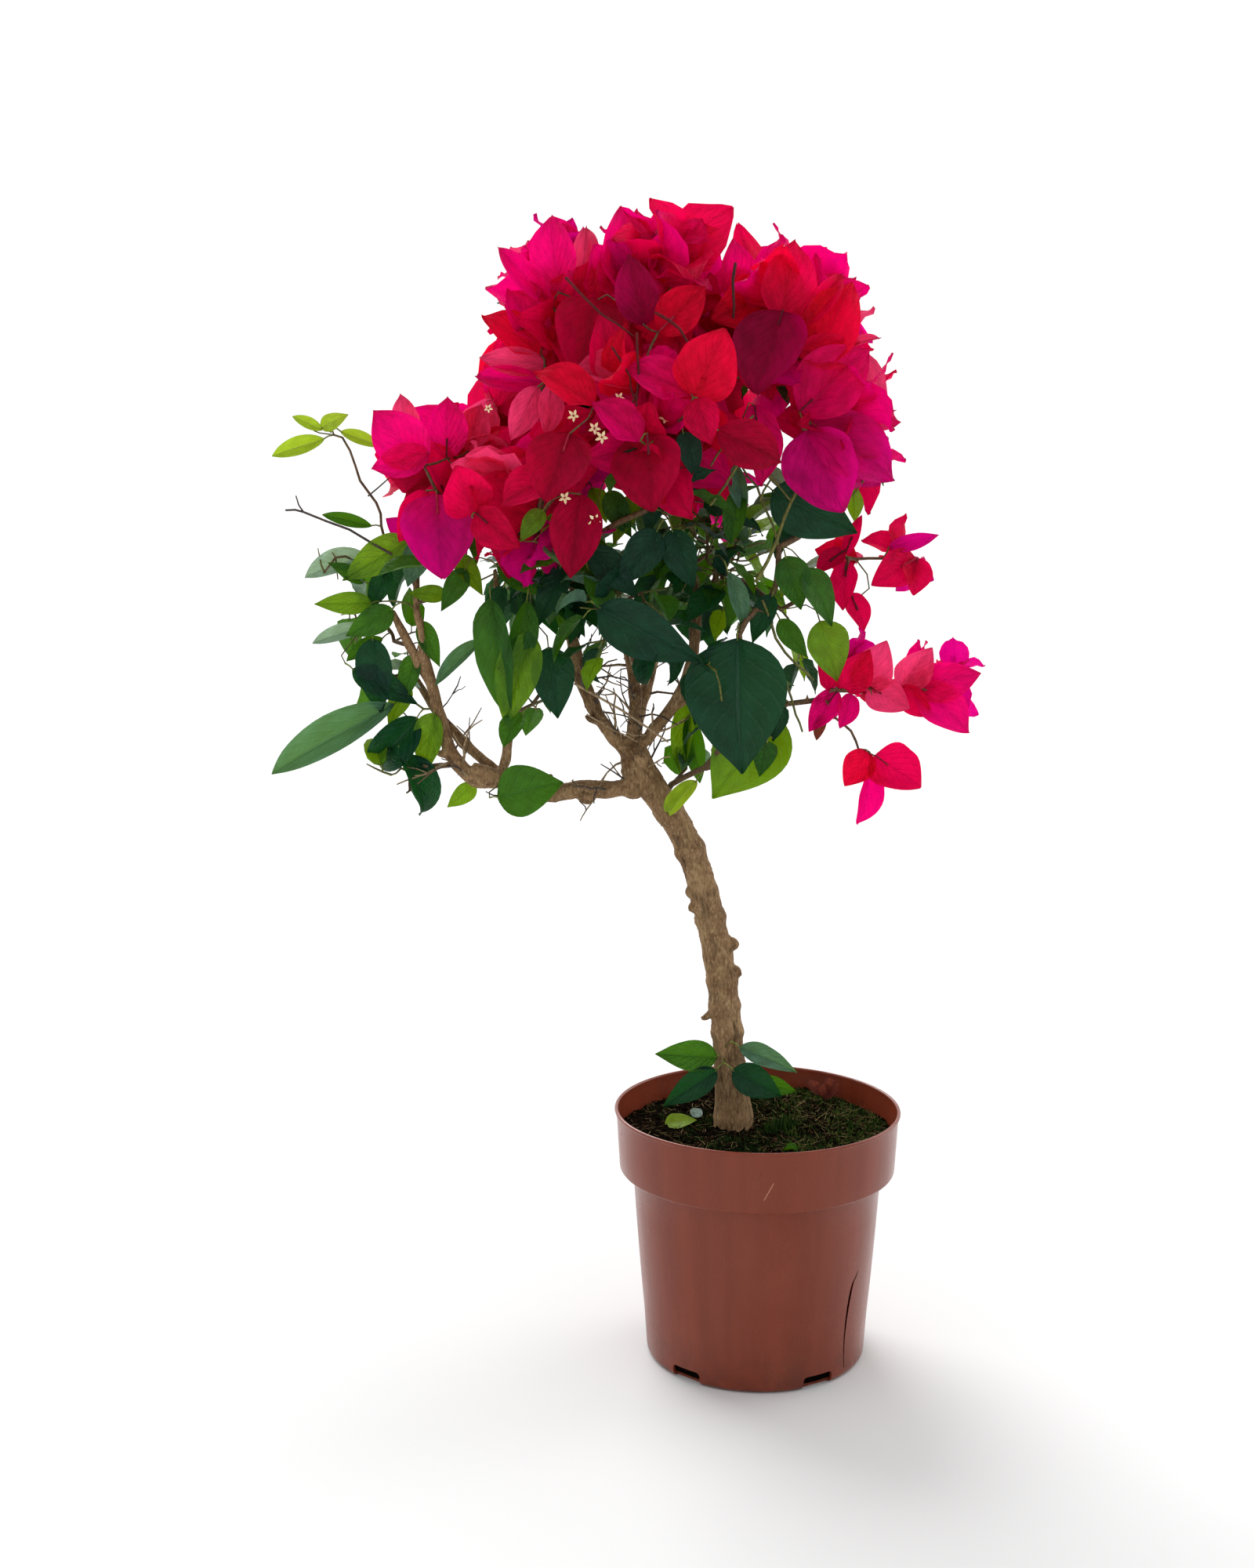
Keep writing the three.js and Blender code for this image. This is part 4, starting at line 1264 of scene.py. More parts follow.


# %% [markdown]
# ### Blades listed one by one
# A plant is known by the few dozen blades in front: the big violet bracts, the one huge
# dark leaf, the long leaf that points away. No rule would find those, so they are listed
# one by one, and the rules fill in round them.

# %% Blades listed one by one: bracts
# root and tip (across, depth and up, in millimetres), breadth for its length, kind, tint,
# and "late" where its twig grows from a thin stem, after the others
# the two darkest crimson tints paint the shade on bracts that lie in it, and the pale rose tint paints side
# light
PLACED_BRACTS = [
    ((-80, -30, 624), (-83, -22, 670), 0.8, "cupped", "magenta"),
    ((-116, -34, 624), (-118, -26, 664), 0.74, "cupped", "magenta"),
    ((-120, -32, 618), (-150, -32, 649), 0.46, "pointed", "magenta"),
    ((-103, -24, 620), (-100, -16, 661), 0.52, "pointed", "rose"),
    ((-68, -34, 622), (-56, -34, 655), 0.8, "cupped", "red"),
    ((-50, -4, 626), (-50, -2, 663), 0.6, "cupped", "magenta"),
    ((-34, -4, 622), (-36, 0, 659), 0.6, "cupped", "magenta"),
    ((-14, -16, 614), (-19, -12, 652), 0.66, "cupped", "magenta"),
    ((8, -44, 608), (15, -38, 651), 0.82, "cupped", "crimson"),
    ((18, -40, 604), (44, -34, 635), 0.46, "pointed", "crimson"),
    ((28, -44, 583), (49, -34, 627), 0.82, "cupped", "red"),
    ((36, -22, 590), (66, -16, 600), 0.24, "pointed", "rose"),
    ((-126, -30, 596), (-145, -22, 624), 0.8, "cupped", "magenta"),
    ((-126, -32, 590), (-159, -26, 609), 0.7, "cupped", "red"),
    ((-124, -34, 584), (-160, -32, 588), 0.52, "cupped", "rose"),
    ((-124, -34, 574), (-164, -30, 578), 0.5, "pointed", "magenta"),
    ((-128, -62, 572), (-143, -58, 543), 0.62, "cupped", "rose"),
    ((-120, -66, 574), (-124, -62, 545), 0.6, "cupped", "rose"),
    ((-94, -50, 620), (-108, -52, 576), 0.98, "round", "shaded_crimson"),
    ((-68, -62, 606), (-76, -62, 644), 0.74, "cupped", "shaded_plum"),
    ((-60, -66, 602), (-34, -62, 626), 0.8, "cupped", "red"),
    ((10, -52, 614), (-2, -56, 564), 0.86, "round", "shaded_plum"),
    ((-40, -92, 566), (-22, -90, 603), 0.94, "round", "red"),
    ((-42, -90, 568), (-78, -82, 582), 0.72, "cupped", "magenta"),
    ((-38, -94, 566), (-30, -96, 540), 0.9, "cupped", "crimson"),
    ((20, -50, 558), (58, -44, 591), 0.88, "cupped", "magenta"),
    ((24, -52, 548), (46, -46, 504), 0.92, "round", "violet"),
    ((26, -50, 552), (71, -40, 519), 0.76, "cupped", "violet"),
    ((48, -22, 548), (75, -18, 560), 0.26, "pointed", "magenta"),
    ((18, -50, 592), (54, -40, 586), 0.62, "cupped", "crimson"),
    ((-193, -36, 528), (-220, -32, 558), 0.88, "cupped", "magenta"),
    ((-199, -8, 540), (-205, 0, 567), 0.62, "cupped", "rose"),
    ((-180, -24, 532), (-179, -14, 565), 0.78, "cupped", "magenta"),
    ((-168, -14, 536), (-160, -4, 561), 0.8, "cupped", "rose"),
    ((-190, -38, 536), (-222, -36, 527), 0.66, "cupped", "magenta"),
    ((-166, -70, 500), (-176, -76, 530), 0.98, "round", "crimson"),
    ((-186, -42, 512), (-183, -47, 462), 0.9, "round", "violet"),
    ((-164, -72, 502), (-138, -78, 482), 0.8, "cupped", "crimson"),
    ((-192, -38, 514), (-208, -36, 486), 0.7, "cupped", "crimson"),
    ((-200, 2, 486), (-215, 2, 498), 0.8, "cupped", "violet"),
    ((-110, -84, 546), (-122, -86, 506), 0.96, "round", "shaded_crimson"),
    ((-104, -84, 512), (-110, -86, 465), 0.74, "cupped", "shaded_crimson"),
    ((-118, -82, 524), (-148, -80, 504), 0.8, "cupped", "crimson"),
    ((-66, -98, 546), (-60, -100, 501), 0.98, "round", "shaded_crimson"),
    ((-70, -96, 542), (-98, -92, 562), 0.82, "cupped", "magenta"),
    ((-96, -86, 562), (-130, -80, 578), 0.82, "cupped", "red"),
    ((-86, -62, 574), (-94, -66, 612), 0.84, "cupped", "crimson"),
    ((-26, -88, 548), (8, -76, 530), 0.78, "cupped", "shaded_crimson"),
    ((-6, -48, 562), (-3, -46, 517), 0.62, "cupped", "magenta"),
    ((47, -10, 478), (56, -14, 500), 0.5, "pointed", "crimson"),
    ((47, -12, 480), (31, -15, 466), 0.72, "cupped", "shaded_crimson"),
    ((49, -12, 474), (47, -15, 446), 0.7, "cupped", "crimson"),
    ((50, -12, 456), (58, -15, 434), 0.72, "cupped", "crimson"),
    ((72, -6, 482), (100, -8, 489), 0.4, "cupped", "violet", "late"),
    ((88, -6, 476), (62, -12, 460), 0.8, "cupped", "crimson", "late"),
    ((88, -4, 476), (86, -13, 454), 0.9, "cupped", "crimson", "late"),
    ((44, -14, 400), (28, -16, 376), 0.64, "cupped", "magenta"),
    ((46, -14, 400), (62, -20, 424), 0.88, "cupped", "crimson"),
    ((58, -12, 400), (72, -18, 429), 0.88, "cupped", "rose"),
    ((62, -14, 402), (86, -20, 388), 0.82, "round", "rose"),
    ((40, -14, 400), (31, -16, 422), 0.66, "cupped", "crimson"),
    ((52, -14, 398), (45, -18, 378), 0.74, "cupped", "magenta"),
    ((37, -14, 386), (32, -16, 371), 0.62, "pointed", "dry"),
    ((80, -8, 402), (98, -13, 425), 0.84, "cupped", "rose"),
    ((88, -8, 402), (126, -12, 410), 0.72, "cupped", "magenta"),
    ((90, -10, 402), (119, -12, 375), 0.76, "cupped", "magenta"),
    ((80, -10, 402), (99, -14, 385), 0.74, "cupped", "crimson"),
    ((63, -8, 364), (49, -12, 344), 0.9, "cupped", "red", "late"),
    ((66, -8, 362), (91, -13, 340), 0.98, "round", "crimson", "late"),
    ((64, -8, 354), (58, -11, 321), 0.66, "pointed", "magenta", "late"),
]

# %% Blades listed one by one: leaves
# tints: dark is the leaves' own dark green with painted shade in it, bright a yellow-green with painted light
# through it, pale a painted lit green, grey a painted sheen
PLACED_LEAVES = [
    ((-14, -52, 430), (-13, -60, 352), 0.83, "broad", "dark"),
    ((10, -22, 386), (-28, -28, 338), 0.78, "broad", "bright"),
    ((-94, -66, 448), (-37, -70, 416), 0.5, "broad", "dark"),
    ((-16, -44, 529), (-11, -46, 501), 0.42, "lance", "sheen_grey"),
    ((-46, -84, 547), (-38, -88, 522), 0.62, "broad", "dark"),
    ((-13, -42, 516), (-19, -44, 484), 0.45, "lance", "mid"),
    ((-20, -44, 468), (-9, -46, 437), 0.4, "lance", "sheen_grey"),
    ((5, -38, 514), (53, -40, 489), 0.64, "broad", "dark"),
    ((13, -36, 477), (23, -38, 447), 0.68, "broad", "mid"),
    ((24, -34, 470), (42, -34, 438), 0.58, "broad", "mid"),
    ((33, -30, 440), (45, -32, 406), 0.76, "broad", "bright"),
    ((-156, -36, 453), (-148, -40, 380), 0.34, "broad", "mid"),
    ((-134, -38, 434), (-149, -40, 379), 0.48, "broad", "bright"),
    ((-123, -36, 425), (-117, -38, 384), 0.64, "broad", "dark"),
    ((-135, -38, 452), (-143, -40, 408), 0.42, "lance", "mid"),
    ((-161, -18, 429), (-190, -20, 404), 0.28, "lance", "sheen_grey"),
    ((-202, -10, 486), (-241, -12, 464), 0.48, "broad", "bright"),
    ((-226, 2, 477), (-264, 4, 467), 0.42, "lance", "pale"),
    ((-195, -12, 486), (-203, -16, 460), 0.62, "broad", "sheen_grey"),
    ((-181, -14, 455), (-203, -16, 456), 0.5, "broad", "bright"),
    ((-223, -2, 494), (-252, -2, 501), 0.28, "lance", "mid"),
    ((-224, -6, 450), (-257, -8, 450), 0.42, "broad", "bright"),
    ((-212, -8, 447), (-239, -10, 431), 0.56, "broad", "mid"),
    ((-226, 6, 437), (-260, 6, 428), 0.3, "lance", "pale"),
    ((-224, -8, 430), (-221, -10, 386), 0.52, "broad", "dark"),
    ((-199, -6, 421), (-208, -8, 393), 0.5, "broad", "mid"),
    ((-236, -8, 412), (-199, -10, 393), 0.42, "broad", "dark"),
    ((-212, -5, 392), (-288, -5, 352), 0.28, "lance", "sheen_grey"),
    ((-199, -10, 384), (-232, -12, 346), 0.62, "curled", "dark"),
    ((-208, -12, 362), (-184, -12, 321), 0.52, "curled", "dark"),
    ((-189, -14, 387), (-197, -14, 351), 0.56, "broad", "bright"),
    ((-166, -10, 346), (-182, -10, 331), 0.56, "broad", "bright"),
    ((-153, -32, 337), (-116, -34, 347), 0.84, "broad", "mid"),
    ((-37, 8, 402), (-49, 6, 351), 0.3, "lance", "bright"),
    ((-42, 10, 387), (-35, 8, 345), 0.32, "lance", "mid"),
    ((-24, -8, 181), (-60, -10, 183), 0.54, "broad", "mid"),
    ((-24, -12, 173), (-56, -15, 151), 0.44, "broad", "dark"),
    ((-11, -14, 187), (24, -17, 173), 0.38, "broad", "sheen_grey"),
    ((-15, -18, 173), (15, -20, 157), 0.6, "broad", "dark"),
    ((0, -4, 166), (23, -6, 160), 0.52, "broad", "mid"),
    ((-125, -84, 503), (-139, -87, 486), 0.62, "broad", "bright"),
    ((15, 2, 513), (-1, 4, 530), 0.42, "lance", "pale"),
    ((-60, -62, 492), (-82, -66, 460), 0.58, "broad", "dark"),
    ((-52, -60, 492), (-40, -64, 459), 0.6, "broad", "dark"),
    ((-98, -60, 482), (-72, -66, 454), 0.5, "broad", "dark"),
    ((-100, -58, 470), (-84, -66, 438), 0.46, "broad", "mid"),
    ((-112, -30, 472), (-130, -36, 438), 0.5, "broad", "dark"),
    ((-152, -30, 471), (-124, -34, 455), 0.34, "lance", "mid"),
    ((-148, -24, 460), (-160, -30, 430), 0.44, "broad", "dark"),
    ((6, -38, 455), (-6, -42, 428), 0.5, "broad", "dark"),
    ((10, -36, 441), (26, -38, 419), 0.5, "broad", "mid"),
    ((-88, -52, 514), (-76, -56, 488), 0.55, "broad", "mid"),
    ((-72, -50, 512), (-86, -54, 484), 0.42, "broad", "bright"),
    ((-60, -52, 516), (-66, -56, 490), 0.5, "broad", "dark"),
    ((-96, -54, 500), (-104, -58, 474), 0.5, "broad", "mid"),
    ((-170, -26, 470), (-184, -30, 446), 0.5, "broad", "mid"),
    ((-176, -22, 478), (-160, -26, 456), 0.5, "broad", "bright"),
    ((-228, -4, 462), (-248, -8, 474), 0.44, "broad", "mid"),
    ((-214, 0, 470), (-226, -4, 446), 0.5, "broad", "dark"),
    ((-218, 2, 430), (-240, -2, 418), 0.42, "lance", "mid"),
    ((-196, -8, 440), (-186, -12, 414), 0.44, "broad", "mid"),
    ((-204, -2, 404), (-216, -6, 380), 0.5, "broad", "bright"),
]
PLACED_YOUNG = [
    ((-249, -1, 543), (-280, -2, 534), 0.36, "lance", "young", "late"),
    ((-250, -1, 548), (-267, -3, 556), 0.4, "lance", "young", "late"),
    ((-251, -1, 549), (-236, -2, 557), 0.62, "broad", "young", "late"),
    ((-240, 0, 547), (-216, 0, 539), 0.34, "lance", "young", "late"),
    ((-37, -20, 347), (-61, -22, 323), 0.42, "curled", "young"),
]

# %% [markdown]
# ### Setting them down
# A listed blade needs its root, its tip and a way to face, which is towards the front
# with a little seeded turn. Each asks for a twig at its root, and a leaf also for a
# stalk; the twigs themselves are grown later, all at once.

# %% Tints in the order of their materials
# of the bract tints, the two darkest crimsons are painted shade and rose is a pale pink with painted side
# light in it
BRACT_TINTS = ("magenta", "violet", "crimson", "red", "shaded_crimson", "shaded_plum", "rose", "dry")
# of the leaf tints, dark holds painted shade, bright and pale painted light, and grey a painted sheen
LEAF_TINTS = ("dark", "mid", "bright", "sheen_grey", "pale")
TUBE_DARK, TUBE_RED, STAR_CREAM, STAR_PINK = range(4)
bracts, flowers, leaves, young_leaves = new_heap(), new_heap(), new_heap(), new_heap()
targets = []


def want_twig(place, heading, weight=1.0, late=False):
    """Asks for a twig that ends at a place and arrives along a heading."""
    targets.append({"place": np.array(place, float), "heading": unit(heading),
                    "weight": weight, "late": late})


def flower(place, along, face, length, open_chance=0.2):
    """One tube flower against its bract, sometimes with an open star."""
    tone = TUBE_DARK if chance.random() < 0.75 else TUBE_RED
    tube = lay(flowers, tube_shape, place, along, face, length, length * 0.8, tone)
    if chance.random() < open_chance:
        end = tube[-1]
        lay(flowers, star_shape, end, square_to(along, face), along, chance.uniform(6, 8.5) * MM,
            finish=STAR_CREAM if chance.random() < 0.7 else STAR_PINK)


def litter(heap, blade, x, y, length, breadth, finish, lift=0.0, turn=0.0):
    """A fallen blade that lies on the peat."""
    along = (math.cos(turn), math.sin(turn), lift)
    lay(heap, fine_blades[blade], ground(x * MM, y * MM) + (0, 0, 1.5 * MM), along,
        (0.2, -0.5, 0.9), length * MM, breadth * MM, finish)


def hand_set(rows, heap, tints, is_bract=False):
    """Sets down the blades of a table, with a twig each."""
    for foot, point, breadth, kind, tint, *late in rows:
        root, tip = seen(*foot), seen(*point)
        length = np.linalg.norm(tip - root)
        along = (tip - root) / length
        face = np.array([chance.uniform(-0.5, 0.5), -1, chance.uniform(-0.1, 0.55)])
        finishes_each = 1 if is_bract else 2   # a leaf's rib has its own
        lay(heap, fine_blades[kind], root, along, face, length * 1.03, length * breadth,
            finishes_each * tints.index(tint) if tints else 0)
        if is_bract:
            if chance.random() < 0.4:
                flower(root + square_to(along, face) * 1.2 * MM, along * 0.96 + square_to(along, face) * 0.16,
                       face, chance.uniform(8, 12) * MM, 0.0)
            want_twig(root, along * 0.6 + (0, 0.1, 0.3), late=bool(late))
        else:
            stalk = root - along * 5 * MM + (0, 3 * MM, 1 * MM)
            want_twig(stalk, along, weight=0.7, late=bool(late))
            stalks.append((stalk, root + along * 1 * MM))


stalks = []

# %% [markdown]
# ### Stems and open flowers that show
# A few bare stems cross in front of the blooms, one dead twig sticks out on the left, and
# a handful of flowers are open. They are listed in the same way as the blades.

# %% Stems and open flowers, listed one by one
# points (across, depth and up), radius in millimetres, finish
PLACED_STEMS = [
    (((-112, -78, 632), (-92, -82, 612), (-74, -82, 600)), 0.8, "red"),
    (((-62, -84, 613), (-48, -86, 604), (-37, -86, 589)), 0.9, "red"),
    (((-86, -88, 594), (-76, -90, 578), (-73, -90, 564)), 0.7, "red"),
    (((-72, -88, 602), (-71, -90, 580), (-73, -90, 550)), 0.8, "red"),
    (((-17, -74, 640), (-18, -76, 622), (-18, -74, 610)), 0.9, "dark"),
    (((-6, -66, 556), (-22, -70, 540), (-30, -70, 528)), 0.7, "green"),
    (((-2, -60, 548), (-14, -62, 530), (-30, -64, 506)), 1.0, "green"),
    (((-4, -48, 462), (8, -50, 486), (16, -50, 508), (30, -48, 532)), 1.1, "green"),
    (((-2, -44, 508), (4, -46, 520), (4, -46, 536)), 0.7, "green"),
    (((16, -50, 508), (6, -50, 520), (-6, -50, 528)), 0.6, "green"),
    (((-212, -12, 478), (-236, -10, 492), (-262, -8, 502), (-272, -8, 503)), 0.8, "bare"),
    (((-262, -8, 502), (-266, -8, 511)), 0.5, "bare"),
    (((-225, -4, 511), (-213, -6, 521)), 0.5, "bare"),
    (((-108, -40, 404), (-80, -44, 388), (-54, -44, 370)), 0.8, "dry"),
    (((-101, -36, 386), (-84, -38, 376), (-72, -38, 370)), 0.5, "dry"),
    (((-2, -40, 420), (14, -42, 405), (20, -42, 386), (24, -42, 376)), 0.8, "green"),
    (((0, -40, 452), (8, -42, 430), (20, -42, 415), (30, -40, 406)), 0.9, "green"),
]
# place (across, depth and up), width in millimetres
OPEN_FLOWERS = [
    ((-96, -90, 549), 7),
    ((-92, -92, 544), 7.5),
    ((-82, -88, 566), 6),
    ((-113, -90, 510), 7),
    ((-96, -90, 497), 8),
    ((-108, -86, 556), 7),
    ((-77, -88, 515), 5),
    ((-156, -72, 560), 5),
]
for place, width in OPEN_FLOWERS:
    spot, face = seen(*place), unit(np.array([0, -1, 0.25]) + any_direction() * 0.4)
    lay(flowers, tube_shape, spot - face * 6 * MM, face, (0, 0, 1), 6.5 * MM, 6 * MM, TUBE_RED)
    lay(flowers, star_shape, spot, (0.2, 0, 1), face, width * MM, finish=STAR_CREAM)
hand_set(PLACED_BRACTS, bracts, BRACT_TINTS, is_bract=True)
hand_set(PLACED_LEAVES, leaves, LEAF_TINTS)
hand_set(PLACED_YOUNG, young_leaves, None)
by_hand = np.array([(seen(*row[0]) + seen(*row[1])) / 2 for row in PLACED_BRACTS + PLACED_LEAVES])
for x, y, turn, lift in ((44, 50, 0.4, 0.7), (52, 52, 2.4, 0.9), (44, 56, 2.9, 0.5)):
    litter(bracts, "round", x, y, 13, 11, BRACT_TINTS.index("dry"), lift, turn)
litter(young_leaves, "broad", -55, -2, 20, 12, 0, 0.15, 0.2)
litter(leaves, "broad", -38, 10, 11, 8, 2 * LEAF_TINTS.index("pale"), 0.3, 1.0)
litter(leaves, "curled", 20, -52, 12, 6, 2 * LEAF_TINTS.index("mid"), 0.2, 2.6)
print("set by hand:", len(PLACED_BRACTS), "bracts,", len(PLACED_LEAVES) + len(PLACED_YOUNG), "leaves")


# %% [markdown]
# ### Blooms for the rest
# A bloom is three bracts round an axis, each with a tube flower. Cloning one bloom would
# show, so each is put together anew from the few bract shapes, with its own opening,
# roll and size. Its tint paints light and shade: the lit tints go high on the dome and to
# bracts that face up, the darker crimsons lower down, in the shade, and slow noise makes
# the tint drift over the dome.

# %% Blooms that fill the blossom masses
def bloom_light_and_shade_tint(place, normal):
    """Paints light and shade into the tint: magenta where the light is, darker crimsons towards the shade."""
    # painted light and shade: high bracts and those that face up draw the lit tints
    lift = (place[2] - 545 * MM) / (110 * MM) + 0.5 * normal[2] + 0.9 * noise.noise(Vector(place) * 22)
    draw = lift + chance.gauss(0, 0.22)
    if draw > 0.75:
        return chance.choice(("magenta", "magenta", "magenta", "violet", "rose"))
    if draw > 0.2:
        return chance.choice(("magenta", "crimson", "crimson"))
    if draw > -0.3:
        return chance.choice(("crimson", "crimson", "red", "magenta"))
    return chance.choice(("crimson", "shaded_crimson", "violet"))


def bloom(place, axis, size, tint, opening):
    """Three bracts round an axis, each with its tube flower."""
    if shows_sky(place, place + axis * size * 0.6, place + axis * size * 0.95):
        return False
    roll = chance.uniform(0, 2 * math.pi)
    side = square_to(axis, (0.3, -0.6, 0.7))
    across = np.cross(axis, side)
    for petal in range(3):
        turn = roll + petal * 2 * math.pi / 3 + chance.gauss(0, 0.12)
        out = side * math.cos(turn) + across * math.sin(turn)
        spread = math.radians(opening + chance.gauss(0, 7))
        along = axis * math.cos(spread) + out * math.sin(spread)
        face = axis * math.sin(spread) - out * math.cos(spread)
        length = size * chance.uniform(0.9, 1.08)
        if shows_sky(place + along * length, place + along * length * 0.5):
            continue
        tone = tint if chance.random() < 0.85 else chance.choice(("crimson", "magenta", "rose"))
        lay(bracts, blades[chance.choice(BRACT_KINDS)], place, along, face, length,
            length * chance.uniform(0.72, 0.9), BRACT_TINTS.index(tone))
        flower(place + face * 1.2 * MM, along * 0.95 + axis * 0.2, face, chance.uniform(8, 12) * MM, 0.05)
    want_twig(place, axis)
    return True


SMALL_BLOSSOM = ("blossom_right_inner", "blossom_right_upper", "blossom_right_low", "blossom_right_tip",
                 "blossom_hanging")
BLOOM_SPACING = 26 * MM
blooms = 0
for name, mass in masses.items():
    if not name.startswith("blossom_"):
        continue
    small = name in SMALL_BLOSSOM
    for place, normal in skin_points(name, BLOOM_SPACING):
        if small and (place[1] < mass["middle"][1] + 4 * MM or name == "blossom_hanging"):
            continue
        if not small and np.linalg.norm(by_hand - place, axis=1).min() < 17 * MM and place[1] < 0.02:
            continue
        size = chance.uniform(20, 25) * MM if small else chance.uniform(37, 46) * MM
        depth = size * (0.9 if small else chance.uniform(0.74, 0.92))
        axis = unit(normal * 0.9 + np.array([0, 0, 0.35]) + any_direction() * 0.3)
        root = place - normal * depth
        blooms += bloom(root, axis, size, bloom_light_and_shade_tint(place, normal), chance.uniform(32, 64))
print("blooms:", blooms)


# %% [markdown]
# ### Leaf sprays for the rest
# Leaves sit alternately on short shoots, each turned about 137 degrees from the last.
# So a spray is walked leaf by leaf: a step, a small bend down, a leaf to the side. The
# masses under the dome are full, those at the sides airy, and a leaf whose tip would
# leave its mass is dropped, which keeps the crown's outline.

# %% Leaf sprays that fill the leaf masses
def leaf_light_and_shade_tint(place, normal):
    # painted light and shade mixed with random tone: leaves on shoots that point up, and those far out on the
    # left, draw the lit tints
    draw = normal[2] * 0.3 + 0.8 * noise.noise(Vector(place) * 28) + chance.gauss(0, 0.4)
    if place[0] < -170 * MM:
        draw += 0.4
    if draw > 0.65:
        return chance.choice(("bright", "bright", "mid", "pale"))
    if draw > 0.0:
        return chance.choice(("mid", "mid", "bright", "dark"))
    return chance.choice(("dark", "dark", "mid", "sheen_grey"))


def spray(name, place, heading, count, size):
    """A short shoot with alternate leaves; its foot is where the twig will join it."""
    heading = unit(heading)
    if shows_sky(place, place + heading * size * 0.5, place + heading * size):
        return
    side = square_to(heading, any_direction())
    spot = np.array(place, float)
    course = [spot.copy()]
    for index in range(count):
        heading = unit(heading + any_direction() * 0.18 - np.array([0, 0, 0.06]))
        spot = spot + heading * size * STEP_OF_SPRAY
        course.append(spot.copy())
        turn = index * TURN_OF_SPRAY + chance.gauss(0, 0.3)
        out = square_to(heading, side * math.cos(turn) + np.cross(heading, side) * math.sin(turn))
        lean = 0.25 if index == count - 1 else 1.0
        along = unit(heading * (1.2 - lean * 0.6) + out * lean + np.array([0, 0, -0.25]))
        root = spot + along * size * 0.16
        tone = leaf_light_and_shade_tint(spot, heading)
        length = size * chance.uniform(0.7, 1.15)
        kind = chance.choice(("broad", "broad", "lance", "curled"))
        tip = root + along * length
        over = np.maximum(masses[name]["low"] - tip, tip - masses[name]["high"]).max()
        if over > MOST_OVER or shows_sky(tip, (root + tip) / 2):
            continue
        face = unit(np.array([0, 0, 0.9]) + out * 0.4 + heading * 0.6)
        lay(leaves, blades[kind], root, along, face, length, length * chance.uniform(0.5, 0.68),
            2 * LEAF_TINTS.index(tone))
        stalks.append((spot, root + along * 1 * MM))
    shoots.append(course)
    want_twig(place, heading, 1.0 + 0.2 * count)


STEP_OF_SPRAY = 0.24
TURN_OF_SPRAY = 2.4
MOST_OVER = 8 * MM
shoots = []
FULL = ("leaves_core_left", "leaves_core_right", "leaves_back_left", "leaves_back_right", "leaves_front")
AIRY = ("leaves_right", "leaves_right_upper", "leaves_left_upper", "leaves_left_mid", "leaves_left_low",
        "leaves_left_hanging", "leaves_right_front", "leaves_fork", "leaves_riser", "leaves_middle",
        "leaves_right_under")
sprays = 0
for name in FULL + AIRY:
    mass = masses[name]
    full = name in FULL
    on_right = mass["middle"][0] > -100 * MM
    for place, normal in skin_points(name, (22 if full else 21 if on_right else 15) * MM):
        close = np.linalg.norm(by_hand - place, axis=1).min() < (13 if full else 17) * MM
        if close and place[1] < 0.0:
            continue
        if not full and (place[1] < mass["middle"][1] - 8 * MM or chance.random() < 0.2):
            continue
        size = chance.uniform(27, 38) * MM if full else chance.uniform(22, 30) * MM
        depth = size * (0.95 if full else 0.75)
        root = place - normal * depth
        heading = normal * 0.9 + np.array([0, 0, 0.15]) + any_direction() * 0.3
        spray(name, root, heading, chance.choice((2, 3, 3)), size)
        sprays += 1
for name, mass in masses.items():
    if name.startswith("blossom_") and name not in SMALL_BLOSSOM:
        for _ in range(5):
            share = [chance.uniform(-0.28, 0.28), chance.uniform(-0.2, 0.3), chance.uniform(-0.42, -0.1)]
            inner = mass["middle"] + (mass["high"] - mass["low"]) * np.array(share)
            heading = any_direction() * (1, 1, 0.4) - np.array([0, 0, 0.2])
            spray(name, inner, heading, 2, chance.uniform(22, 30) * MM)
            sprays += 1
print("sprays:", sprays)

# %% [markdown]
# ## Twigs
# Every bloom and every spray has to hang on something. Twigs grow as real ones are
# found: from the nearest wood, one after another, the near ones first, so that far ones
# fork off twigs that are already there. Each leaves its parent forwards, bends to its
# target and wanders a little. Afterwards each length of twig is made as thick as the
# number of shoots that it feeds asks for, which is how a gardener would expect it.

# %% Grow them
knots_place = [place for name in WOOD for place in limbs[name][0][::4]]
knots_heading = [heading for name in WOOD for heading in headings(limbs[name][0])[::4]]
knots_parent = [-1] * len(knots_place)
wood_knots = len(knots_place)
knots_load = [0.0] * wood_knots


def add_knot(place, heading, parent):
    knots_place.append(place)
    knots_heading.append(heading)
    knots_parent.append(parent)
    knots_load.append(0.0)
    return len(knots_place) - 1


